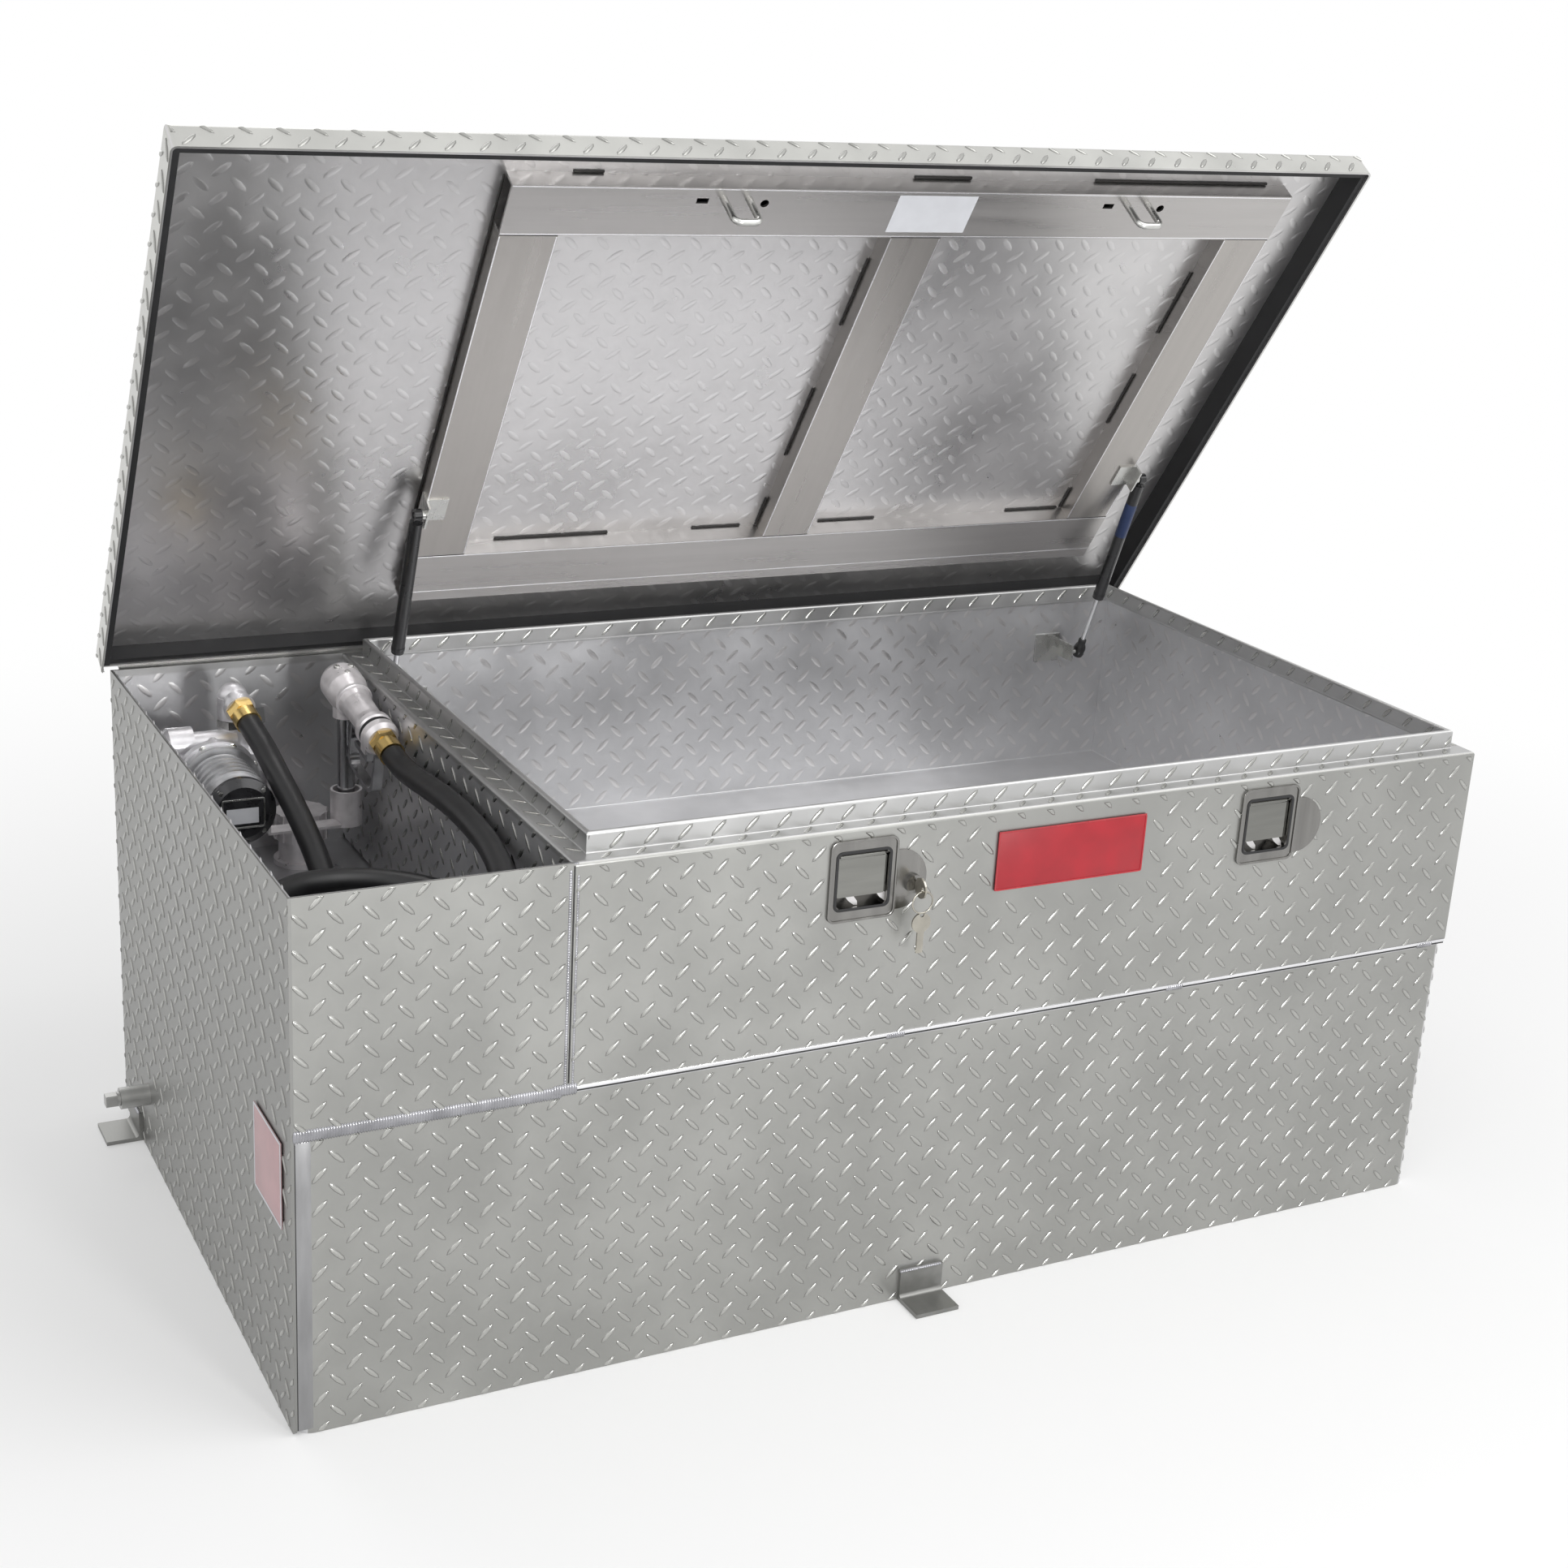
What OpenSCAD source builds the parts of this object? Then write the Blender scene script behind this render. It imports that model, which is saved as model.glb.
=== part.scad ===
// Truck bed transfer tank with a toolbox and a pump bay above it.
// Millimetres, +Z up, origin at the middle of the tank's underside, +X to the right, +Y to the rear.

/* [Tank and boxes] */
// Length of the tank
body_l = 1422; // [1200:1:1800]
// Depth of the tank, front to rear
body_w = 756; // [650:1:900]
// Height of the box walls above the ground
body_h = 572; // [520:1:700]
// Height of the fuel tank under the boxes
tank_h = 330; // [280:1:340]
// Length of the pump bay, from the left face
bay_l = 280; // [280:1:340]
// Thickness of the sheet
sheet_t = 3.2; // [2.5:0.1:4]
// Outer radius of the tank's four upright bends
tank_bend_r = 18; // [10:1:30]

/* [Toolbox rim] */
// Width of the flat ledge around the toolbox mouth
ledge_w = 20; // [16:0.5:30]
// Height of the hemmed lip above the ledge
lip_h = 22; // [18:0.5:24]
// Length of sheet turned back inside the lip
hem_l = 14; // [8:0.5:14]
// Outer radius of the folds
fold_r = 4.4; // [4.3:0.1:6]

/* [Lid] */
// Angle at which the lid stands open
lid_angle = 56; // [40:1:58]
// Thickness of the lid sheet
lid_t = 2.5; // [2:0.1:3.5]
// Reach of the lid past the end walls
lid_side = 11; // [10:0.5:16]
// Reach of the lid past the front wall
lid_front = 12; // [10:0.5:20]
// Depth of the lid's skirt, outside
skirt_h = 36; // [34:0.5:48]
// Outer radius of the lid's bends
lid_bend_r = 7; // [4:0.5:12]
// Gap between the lip and the closed lid's skin
lid_gap = 3; // [2:0.5:8]
// Thickness of the rubber seal inside the skirt
seal_t = 7.5; // [4:0.5:8]
// Radius of the hinge pin
hinge_pin_r = 1.6; // [1.2:0.1:2.2]
// Outer radius of the hinge knuckles
knuckle_r = 4; // [3.5:0.1:5]
// Length of one hinge knuckle
knuckle_l = 50; // [40:1:80]
// Width of each hinge leaf
leaf_w = 28; // [20:1:30]

/* [Lid frame] */
// Depth of the frame channels under the lid's skin
channel_h = 22; // [15:0.5:24]
// Thickness of the frame channels
channel_t = 3; // [2:0.1:4]
// Width of the front rail and the stiles
rail_w = 66; // [50:1:80]
// Width of the rear rail
rear_rail_w = 80; // [60:1:90]
// Distance of the frame's left end from the left face
frame_x0 = 342; // [335:1:380]
// Distance of the frame's right end from the right face
frame_x1 = 77; // [70:1:110]
// Distance of the front rail's front edge from the front face
frame_front = 36; // [34:1:60]
// Distance of the rear rail's rear edge from the rear face
frame_rear = 81; // [60:1:110]

/* [Latches] */
// Distance of the left latch from the left face
latch_left_x = 600; // [500:1:700]
// Distance of the right latch from the left face
latch_right_x = 1123; // [950:1:1150]
// Depth of the latch centres below the wall's top
latch_drop = 57; // [55:1:75]
// Width of the latch flange, without its round end
pan_w = 80; // [74:1:90]
// Height of the latch flange
pan_h = 90; // [84:1:100]
// Width and height of the dish's mouth
dish_w = 60; // [54:1:64]
// Depth of the dish
dish_d = 17; // [14:0.5:20]
// Radius of the striker rod
striker_r = 4; // [3:0.5:4.5]
// Radius of the lock's boss
lock_r = 10; // [8:0.5:11]

/* [Gas struts] */
// Radius of the strut tube
tube_r = 8; // [6:0.5:10]
// Length of the strut tube
tube_l = 188; // [160:1:200]
// Radius of the strut rod
rod_r = 3.5; // [3:0.5:4]
// Running clearance of the rod in its gland
rod_clear = 0.05; // [0.02:0.01:0.1]
// Distance of the lid studs from the hinge line
strut_lid_d = 248; // [220:1:270]
// Depth of the box studs below the wall's top
strut_box_drop = 72; // [60:1:90]
// Distance of the box studs from the rear face
strut_box_in = 31; // [24:1:40]

/* [Feet and drain] */
// Width of a mounting tab
tab_w = 54; // [40:1:80]
// Reach of a mounting tab past the tank
tab_reach = 44; // [30:1:60]
// Height of a mounting tab's upright leg
tab_h = 38; // [25:1:60]
// Thickness of a mounting tab
tab_t = 4.8; // [3:0.1:8]
// Distance of the end tabs from the rear face
tab_rear = 67; // [50:1:120]
// Radius of the drain coupling
drain_r = 13; // [10:0.5:18]
// Height of the drain above the ground
drain_z = 80; // [50:1:120]
// Distance of the drain from the rear face
drain_rear = 131; // [110:1:200]

/* [Pump] */
// Distance of the pump's axis from the left face
pump_x = 87; // [82:1:92]
// Distance of the pump's stem from the front face
pump_y = 636; // [625:1:645]
// Height of the pump's axis above the tank
pump_rise = 144; // [138:1:148]
// Radius of the pump body
pump_r = 40; // [38:1:43]
// Radius of the motor housing
motor_r = 40; // [36:1:41]
// Length of the motor housing
motor_l = 84; // [76:1:100]
// Radius of the pump's rotor
rotor_r = 24; // [20:1:26]
// Running clearance of the rotor's shaft
shaft_clear = 0.05; // [0.02:0.01:0.1]
// Radius of the suction tube
suction_r = 14; // [10:0.5:18]
// Radius of the filler neck
filler_r = 27; // [22:1:32]

/* [Hose and nozzle] */
// Outer diameter of the hose
hose_d = 27; // [22:1:28]
// Radius of the hose coil at the middle of its turns
coil_r = 108; // [98:1:109]
// Turns in the coil
coil_turns = 3; // [2:1:3]
// Radius of the nozzle's barrel
barrel_r = 18; // [15:0.5:20]
// Radius of the nozzle's head
head_r = 25; // [20:0.5:26]
// Radius of the nozzle's spout
spout_r = 10.5; // [8:0.5:12]

/* [Hidden] */
$fn = 48;
seat = 0.3;

// Lid and hinge places, in the closed position, from the left front bottom corner
hinge_y = body_w + knuckle_r;
lid_top_z = body_h + lip_h + lid_gap + lid_t;
skin_z = lid_top_z - lid_t;
rim_z = lid_top_z - skirt_h;
hinge_z = rim_z + 1.5;
lid_rear_y = body_w;
lid_len = body_l + 2 * lid_side;
hinge_l = 28 * knuckle_l - 2 * seat;
knuckles = 28;
hinge_x0 = (body_l - knuckles * knuckle_l) / 2;

// Frame places
rail_y0 = frame_front;
rear_rail_y1 = body_w - frame_rear;
rear_rail_y0 = rear_rail_y1 - rear_rail_w;
frame_r = body_l - frame_x1;
mid_x = (frame_x0 + frame_r) / 2 - rail_w / 2;
web_z = skin_z - channel_h;
stile_l = rear_rail_y0 - rail_y0 - rail_w;

// Latch places
latch_z = body_h - latch_drop;
pan_t = 1.6;
bar_y = 50;
bar_z = latch_z + 22;
jaw_reach = 12;
jaw_t = 5;
jaw_slot = striker_r + 0.8;
jaw_r = jaw_reach + jaw_slot + 5.5;
jaw_z = bar_z - jaw_reach;
jaw_swing = 70;
jaw_pin_r = 4;
cheek_t = 2.5;
ext_x = 43;
ext_r = 33;
lock_dx = 60;
lock_dz = -11;
plug_r = lock_r - 3.2;
key_y = -pan_t - 6;
ring_r = 12;

// Strut places: lid studs in the closed position, box studs
lid_stud_y = hinge_y - strut_lid_d;
lid_stud_z = web_z - 9;
box_stud_y = body_w - strut_box_in;
box_stud_z = body_h - strut_box_drop;
strut_left_x = frame_x0 - 12;
strut_right_x = frame_r + 12;
stud_r = 4;
socket_r = 7.5;
socket_t = 9;
tube_in_r = tube_r - 1.5;
tube_start = socket_r + 2;
tube_end = tube_start + tube_l;
gland_l = 12;
piston_x = tube_end - gland_l - 14;

// Point of the lid studs with the lid open, and the strut's slope there
open_dy = (lid_stud_y - hinge_y) * cos(lid_angle) + (lid_stud_z - hinge_z) * sin(lid_angle);
open_dz = -(lid_stud_y - hinge_y) * sin(lid_angle) + (lid_stud_z - hinge_z) * cos(lid_angle);
open_y = hinge_y + open_dy;
open_z = hinge_z + open_dz;
strut_l = norm([box_stud_y - open_y, box_stud_z - open_z]);
strut_a = atan2(box_stud_z - open_z, box_stud_y - open_y);

// Pump places
floor_z = tank_h;
pump_z = tank_h + pump_rise;
bung_r = 40;
bung_h = 14;
stem_r = 25;
body_y0 = pump_y - 34;
body_y1 = pump_y + 34;
motor_y1 = body_y0 - 12;
motor_y0 = motor_y1 - motor_l;
riser_x = pump_x + 31;
riser_y = pump_y + 17;
riser_r = 13;
tee_z = pump_z + 50;
elbow_z = tee_z + 36;
elbow_r = 17;
elbow_tilt = 22;
elbow_turn = 8;
cover_t = 7;

// Filler place
filler_x = 208;
filler_y = 692;
filler_h = 52;

// Nozzle places
nozzle_x = 250;
nozzle_y = 650;
nozzle_z = body_h - 10;
nozzle_tilt = 13.4;
nozzle_turn = 3.6;
barrel_l = 130;
swivel_l = 30;
spout_y = nozzle_y - 8;
holder_z = floor_z + 62;
holder_h = 44;
lever_z = 92;
lever_y = -barrel_r - 13;

// Hose places
hose_r = hose_d / 2;
coil_x = 141;
coil_y = 150;
coil_z0 = floor_z + seat;
layer_z0 = coil_z0 + hose_r;
coil_pitch = hose_d + seat;
entry_a = 150;
entry_dir = [-sin(entry_a), cos(entry_a), 0];
entry_p = [coil_x + coil_r * cos(entry_a), coil_y + coil_r * sin(entry_a), layer_z0];
join_a = -60;
join_dir = [sin(join_a), -cos(join_a), 0];
coil_rise = coil_pitch * (coil_turns + (join_a + 360 - entry_a) / 360);
top_layer_z = layer_z0 + coil_rise;
join_p = [coil_x + coil_r * cos(join_a), coil_y + coil_r * sin(join_a), top_layer_z];
coil_h = coil_rise - seat;
hose_sides = 10;

// Mouths of the two hose fittings and the ways that they face
elbow_reach = elbow_r + 8;
fitting_l = 26;
fit_dir = turned_down(elbow_turn, elbow_tilt);
fit_p = [riser_x, riser_y, elbow_z] + (elbow_reach + fitting_l) * fit_dir;
swivel_dir = turned_down(nozzle_turn, nozzle_tilt);
swivel_p = [nozzle_x, nozzle_y, nozzle_z] + (barrel_l + swivel_l) * swivel_dir;

// Loose turn of the hose above the coil
loop_r = 119;

// Route of the hose from the pump's fitting down behind the coil and into its lowest turn
pump_route = [
  fit_p,
  fit_p + 22 * fit_dir,
  fit_p + 50 * fit_dir,
  [132, 520, 510],
  [137, 485, 491],
  [142, 450, 470],
  [146, 415, 447],
  [147, 385, 426],
  [141, 355, 407],
  [129, 326, 389],
  [111, 298, 371],
  [86, 277, 355.5],
  [69, 247, layer_z0 + 0.6],
  entry_p - 28 * entry_dir + [-3, 4, 0.2],
  entry_p - 6 * entry_dir,
  entry_p
];

// Route of the hose from the nozzle along the toolbox, round the loose turn and onto the coil
nozzle_route = [
  swivel_p,
  swivel_p + 6 * swivel_dir,
  swivel_p + 34 * swivel_dir + [0, 0, 2],
  [262.5, 420, swivel_p[2] - 4],
  [263, 375, swivel_p[2]],
  [263.5, 325, swivel_p[2] + 4],
  [264, 275, swivel_p[2] + 5],
  [264, 225, swivel_p[2] + 3],
  [263, 180, swivel_p[2] - 2],
  for (i = [1:18])
    let (a = -20 * i, r = loop_r + (i < 13 ? 0 : (coil_r - loop_r) * (i - 12) / 9))
    [coil_x + 1 + r * cos(a), coil_y + r * sin(a) + (i < 4 ? 8 - 2 * i : 0),
      swivel_p[2] - 8 - 28 * sin(min(a, -20) / -4) - 1.2 * i - (i < 13 ? 0 : 2.2 * (i - 12))],
  [coil_x + 111 * cos(-20), coil_y + 111 * sin(-20), top_layer_z + 9],
  [coil_x + 109 * cos(-40), coil_y + 109 * sin(-40), top_layer_z + 3],
  join_p - 6 * join_dir,
  join_p
];

// Moves a shape drawn from the left front bottom corner into the model's frame
module placed() {
  translate([-body_l / 2, -body_w / 2, 0]) children();
}

// Turns a shape of the closed lid to its open rest position
module lid_placed() {
  placed()
    translate([0, hinge_y, hinge_z])
      rotate([-lid_angle, 0, 0])
        translate([0, -hinge_y, -hinge_z])
          children();
}

// Direction that starts along -Y, turned towards +X and then down
function turned_down(turn, down) = [sin(turn) * cos(down), -cos(turn) * cos(down), -sin(down)];

// Rectangle from the origin with round corners
module round_rect(w, d, r) {
  translate([r, 0]) square([w - 2 * r, d]);
  translate([0, r]) square([w, d - 2 * r]);
  for (x = [r, w - r])
    for (y = [r, d - r])
      translate([x, y]) circle(r);
}

// Rectangle around the origin with round corners
module round_rect_mid(w, d, r) {
  translate([-w / 2, -d / 2]) round_rect(w, d, r);
}

// Quarter of a ring around the origin, turned so that it starts at an angle
module quarter_ring(r, t, a) {
  rotate(a) intersection() {
    difference() {
      circle(r);
      circle(r - t);
    }
    square(r + 1);
  }
}

// Cylinder along X from a point
module rod_x(x, y, z, l, r) {
  translate([x, y, z]) rotate([0, 90, 0]) cylinder(h = l, r = r);
}

// Cylinder along Y from a point
module rod_y(x, y, z, l, r) {
  translate([x, y, z]) rotate([-90, 0, 0]) cylinder(h = l, r = r);
}

module tank_shell() {
  color([0.66, 0.66, 0.63]) placed() difference() {
    translate([sheet_t, 0, 0])
      linear_extrude(tank_h - sheet_t)
        round_rect(body_l - sheet_t, body_w, tank_bend_r);
    translate([2 * sheet_t, sheet_t, sheet_t])
      linear_extrude(tank_h)
        round_rect(body_l - 3 * sheet_t, body_w - 2 * sheet_t, tank_bend_r - sheet_t);
    rod_x(0, body_w - drain_rear, drain_z, 3 * sheet_t, drain_r - 5);
  }
}

module tank_top_plate() {
  color([0.62, 0.62, 0.6]) placed() difference() {
    translate([sheet_t, 0, tank_h - sheet_t])
      linear_extrude(sheet_t)
        round_rect(body_l - sheet_t, body_w, tank_bend_r);
    translate([pump_x, pump_y, 0]) cylinder(h = 2 * tank_h, r = stem_r + 1);
    translate([filler_x, filler_y, 0]) cylinder(h = 2 * tank_h, r = filler_r - 4);
  }
}

// One surge plate across the tank, with open corners and round flow holes
module baffle(x) {
  notch = 45;
  hole_r = 38;
  translate([x, 0, 0]) difference() {
    translate([0, sheet_t, sheet_t])
      cube([sheet_t, body_w - 2 * sheet_t, tank_h - 2 * sheet_t]);
    for (y = [0, body_w])
      for (z = [0, tank_h])
        rod_x(-1, y, z, sheet_t + 2, notch);
    for (i = [1:3])
      rod_x(-1, i * body_w / 4, tank_h / 2, sheet_t + 2, hole_r);
  }
}

module tank_baffles() {
  color([0.6, 0.6, 0.58]) placed()
    for (i = [1:2])
      baffle(i * body_l / 3);
}

module left_end_plate() {
  color([0.6, 0.6, 0.58]) placed() difference() {
    rotate([90, 0, 90])
      linear_extrude(sheet_t) {
        round_rect(body_w, body_h, 8);
        translate([0, body_h / 2]) square([body_w, body_h / 2]);
      }
    rod_x(-1, body_w - drain_rear, drain_z, 3 * sheet_t, drain_r - 5);
  }
}

// Flat panel that closes the pump bay between the end plate and the toolbox
module bay_panel(y) {
  translate([sheet_t, y, tank_h]) cube([bay_l - sheet_t, sheet_t, body_h - tank_h]);
}

module bay_front_panel() {
  color([0.66, 0.66, 0.63]) placed() bay_panel(0);
}

module bay_rear_panel() {
  color([0.6, 0.6, 0.58]) placed() bay_panel(body_w - sheet_t);
}

// Section of the toolbox wall: bottom fold, wall, ledge, lip and hem, x is inwards and y is up
module rim_section() {
  r = fold_r;
  t = sheet_t;
  rt = r - t;
  translate([r, tank_h + r]) quarter_ring(r, t, 180);
  translate([0, tank_h + r]) square([t, body_h - tank_h - 2 * r]);
  translate([r, body_h - r]) quarter_ring(r, t, 90);
  translate([r, body_h - t]) square([ledge_w - rt - r, t]);
  translate([ledge_w - rt, body_h + rt]) quarter_ring(r, t, 270);
  translate([ledge_w, body_h + rt]) square([t, lip_h - rt - t]);
  translate([ledge_w + t, body_h + lip_h - t]) quarter_ring(t, t - 0.2, 90);
  translate([ledge_w + t, body_h + lip_h - t]) quarter_ring(t, t - 0.2, 0);
  translate([ledge_w + t + 0.2, body_h + lip_h - t - hem_l]) square([t - 0.2, hem_l]);
}

// One side of the toolbox, mitred at both ends, with its outer face along X
module rim_side(l) {
  reach = ledge_w + 3 * sheet_t;
  intersection() {
    rotate([90, 0, 90]) linear_extrude(l) rim_section();
    linear_extrude(2 * body_h)
      polygon([[0, 0], [l, 0], [l - reach, reach], [reach, reach]]);
  }
}

module toolbox_shell() {
  l = body_l - bay_l;
  color([0.68, 0.68, 0.66]) placed() difference() {
    translate([bay_l, 0, 0]) {
      rim_side(l);
      translate([l, body_w, 0]) rotate(180) rim_side(l);
      translate([l, 0, 0]) rotate(90) rim_side(body_w);
      translate([0, body_w, 0]) rotate(-90) rim_side(body_w);
      translate([fold_r, fold_r, tank_h])
        cube([l - 2 * fold_r, body_w - 2 * fold_r, sheet_t]);
    }
    for (x = [latch_left_x, latch_right_x])
      translate([x - dish_w / 2 - pan_t - seat, -1, latch_z - dish_w / 2 - pan_t - seat])
        cube([dish_w + 2 * (pan_t + seat), sheet_t + 2, dish_w + 2 * (pan_t + seat)]);
    rod_y(latch_left_x + lock_dx, -1, latch_z + lock_dz, sheet_t + 2, lock_r + seat);
  }
}

// Angle bracket against a wall at the origin, its foot reaching along -Y
module tab() {
  rotate([90, 0, 90]) linear_extrude(tab_w) {
    translate([-tab_reach, 0]) square([tab_reach - tab_t, tab_t]);
    translate([-tab_t, tab_t]) square([tab_t, tab_h - tab_t]);
    translate([-tab_t, 0]) square(tab_t);
    translate([-2 * tab_t, tab_t]) difference() {
      square(tab_t);
      translate([0, tab_t]) circle(tab_t);
    }
  }
}

module mounting_tabs() {
  end_y = body_w - tab_rear;
  color([0.6, 0.6, 0.58]) placed() {
    translate([(body_l - tab_w) / 2, 0, 0]) tab();
    translate([(body_l + tab_w) / 2, body_w, 0]) rotate(180) tab();
    translate([0, end_y + tab_w / 2, 0]) rotate(-90) tab();
    translate([body_l, end_y - tab_w / 2, 0]) rotate(90) tab();
  }
}

module drain_coupling() {
  l = 34;
  color([0.62, 0.6, 0.58]) placed() difference() {
    rod_x(-l, body_w - drain_rear, drain_z, l, drain_r);
    rod_x(-l - 1, body_w - drain_rear, drain_z, l + 2, drain_r - 5);
  }
}

// Square-headed plug in the drain coupling
module drain_plug() {
  head = 14;
  color([0.6, 0.6, 0.56]) placed() {
    rod_x(-36, body_w - drain_rear, drain_z, 26, drain_r - 5.05);
    rod_x(-37.5, body_w - drain_rear, drain_z, 3, drain_r - 4.2);
    translate([-51, body_w - drain_rear, drain_z])
      rotate([0, 90, 0]) intersection() {
        linear_extrude(14) round_rect_mid(head, head, 2);
        cylinder(h = 14, r = head * 0.66);
      }
  }
}

// Every other knuckle of the hinge, starting with the first or the second
module hinge_knuckles(first) {
  for (i = [first:2:knuckles - 1])
    rod_x(hinge_x0 + i * knuckle_l + seat, hinge_y, hinge_z, knuckle_l - 2 * seat, knuckle_r);
}

module hinge_bore() {
  rod_x(hinge_x0 - 1, hinge_y, hinge_z, knuckles * knuckle_l + 2, hinge_pin_r + 0.05);
}

// Leaf of the hinge on one side of the pin, cut back round the other leaf's knuckles
module hinge_leaf(first, up) {
  leaf_t = 1.6;
  z0 = up ? hinge_z : hinge_z - leaf_w;
  difference() {
    union() {
      hinge_knuckles(first);
      difference() {
        translate([hinge_x0 + seat, body_w, z0])
          cube([hinge_l, leaf_t, leaf_w]);
        for (i = [1 - first:2:knuckles - 1])
          translate([hinge_x0 + i * knuckle_l - seat, body_w - 1, hinge_z - knuckle_r - 0.6])
            cube([knuckle_l + 2 * seat, leaf_t + 2, 2 * knuckle_r + 1.2]);
      }
    }
    hinge_bore();
  }
}

module hinge_leaf_box() {
  color([0.62, 0.62, 0.62]) placed() hinge_leaf(0, false);
}

module hinge_leaf_lid() {
  color([0.62, 0.62, 0.62]) lid_placed() hinge_leaf(1, true);
}

module hinge_pin() {
  color([0.7, 0.7, 0.7]) placed()
    rod_x(hinge_x0 + seat, hinge_y, hinge_z, knuckles * knuckle_l - 2 * seat, hinge_pin_r);
}

// Closed box for the lid's outside or inside, with its upper and upright edges round
module lid_block(off, z0, z1, r) {
  w = lid_len - 2 * off;
  d = lid_rear_y + lid_front - 2 * off;
  h = z1 - z0;
  translate([-lid_side + off, -lid_front + off, z0]) intersection() {
    linear_extrude(h) round_rect(w, d, r);
    translate([0, d + 1, -h])
      rotate([90, 0, 0]) linear_extrude(d + 2) round_rect(w, 2 * h, r);
    translate([-1, 0, -h])
      rotate([90, 0, 90]) linear_extrude(w + 2) round_rect(d, 2 * h, r);
  }
}

module lid_skin() {
  rear_rim = body_h + 2;
  color([0.67, 0.67, 0.65]) lid_placed() difference() {
    lid_block(0, rim_z, lid_top_z, lid_bend_r);
    lid_block(lid_t, rim_z - 1, skin_z, lid_bend_r - lid_t);
    translate([-lid_side + lid_t, lid_rear_y - lid_t - 1, rim_z - 1])
      cube([lid_len - 2 * lid_t, lid_t + 2, rear_rim - rim_z + 1]);
    for (x = [-lid_side - 1, body_l])
      translate([x, lid_rear_y - 1, rim_z - 1])
        cube([lid_side + 1, 2, 1]);
  }
}

// Rubber strip along the inside of the skirt, in four runs that meet at the corners
module lid_seal() {
  off = lid_t;
  z0 = rim_z + 3;
  rear_z0 = body_h + 4;
  color([0.06, 0.06, 0.06]) lid_placed() difference() {
    lid_block(off, z0, skin_z, lid_bend_r - off);
    translate([-lid_side + off + seal_t, -lid_front + off + seal_t, z0 - 1])
      cube([lid_len - 2 * (off + seal_t), lid_rear_y + lid_front - 2 * (off + seal_t), skirt_h]);
    translate([-lid_side - 1, lid_rear_y - lid_t - seal_t - 1, z0 - 1])
      cube([lid_len + 2, seal_t + lid_t + 2, rear_z0 - z0 + 1]);
  }
}

// Channel along X with its web down, its flanges reaching up to the skin
module channel_x(x, y, l, w) {
  translate([x, y, web_z]) difference() {
    cube([l, w, channel_h]);
    translate([-1, channel_t, channel_t]) cube([l + 2, w - 2 * channel_t, channel_h]);
  }
}

// Channel along Y with its web down
module channel_y(x, y, l, w) {
  translate([x, y, web_z]) difference() {
    cube([w, l, channel_h]);
    translate([channel_t, -1, channel_t]) cube([w - 2 * channel_t, l + 2, channel_h]);
  }
}

module lid_front_rail() {
  color([0.58, 0.56, 0.54]) lid_placed() difference() {
    channel_x(frame_x0, rail_y0, frame_r - frame_x0, rail_w);
    for (x = [latch_left_x, latch_right_x]) {
      translate([x + 36, bar_y + 6, 0]) cylinder(h = 2 * body_h, r = 5);
      translate([x - 46, bar_y, 0]) cube([14, 7, 2 * body_h]);
    }
  }
}

module lid_rear_rail() {
  color([0.58, 0.56, 0.54]) lid_placed()
    channel_x(frame_x0, rear_rail_y0, frame_r - frame_x0, rear_rail_w);
}

module lid_left_stile() {
  color([0.58, 0.56, 0.54]) lid_placed()
    channel_y(frame_x0, rail_y0 + rail_w, stile_l, rail_w);
}

module lid_middle_stile() {
  color([0.58, 0.56, 0.54]) lid_placed()
    channel_y(mid_x, rail_y0 + rail_w, stile_l, rail_w);
}

module lid_right_stile() {
  color([0.58, 0.56, 0.54]) lid_placed()
    channel_y(frame_r - rail_w, rail_y0 + rail_w, stile_l, rail_w);
}

// Bent rod loop under the front rail that the jaw takes hold of
module striker(x) {
  leg = 15;
  bend = 8;
  for (s = [-1, 1]) {
    translate([x + s * leg, bar_y, bar_z + bend])
      cylinder(h = web_z - bar_z - bend, r = striker_r);
    translate([x + s * (leg - bend), bar_y, bar_z + bend])
      rotate([90, s > 0 ? 90 : 180, 0])
        rotate_extrude(angle = 90) translate([bend, 0]) circle(striker_r);
  }
  rod_x(x - leg + bend, bar_y, bar_z, 2 * (leg - bend), striker_r);
}

module lid_strikers() {
  color([0.7, 0.7, 0.68]) lid_placed() {
    striker(latch_left_x);
    striker(latch_right_x);
  }
}

// Outline of the latch flange, x to the right and y up, around the dish's centre
module pan_outline() {
  round_rect_mid(pan_w, pan_h, 11);
  translate([ext_x, lock_dz + 6]) circle(ext_r);
  translate([0, lock_dz + 6 - ext_r]) square([ext_x, 2 * ext_r]);
}

// Latch dish at the origin with its flange on the front face, and cheeks for the jaw behind it
module latch_pan(lock) {
  t = pan_t;
  cheek_y1 = bar_y + 9;
  difference() {
    union() {
      rotate([90, 0, 0]) linear_extrude(t) pan_outline();
      rotate([-90, 0, 0]) linear_extrude(dish_d) round_rect_mid(dish_w + 2 * t, dish_w + 2 * t, 7);
      for (s = [-1, 1])
        translate([s * (jaw_t / 2 + 0.5) - (s < 0 ? cheek_t : 0), dish_d - 0.5, 0])
          cube([cheek_t, cheek_y1 - dish_d + 0.5, jaw_z - latch_z + 5]);
      rod_x(-jaw_t / 2 - 0.6, bar_y, jaw_z - latch_z, jaw_t + 1.2, jaw_pin_r);
    }
    translate([0, -t - 1, 0]) rotate([-90, 0, 0])
      linear_extrude(dish_d + 1) round_rect_mid(dish_w, dish_w, 5.5);
    if (lock)
      rod_y(lock_dx, -t - 1, lock_dz, t + 2, lock_r + 0.1);
  }
  rod_x(-dish_w / 2, 1.5 + 3, dish_w / 2 - 5, dish_w, 1.5);
}

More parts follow.
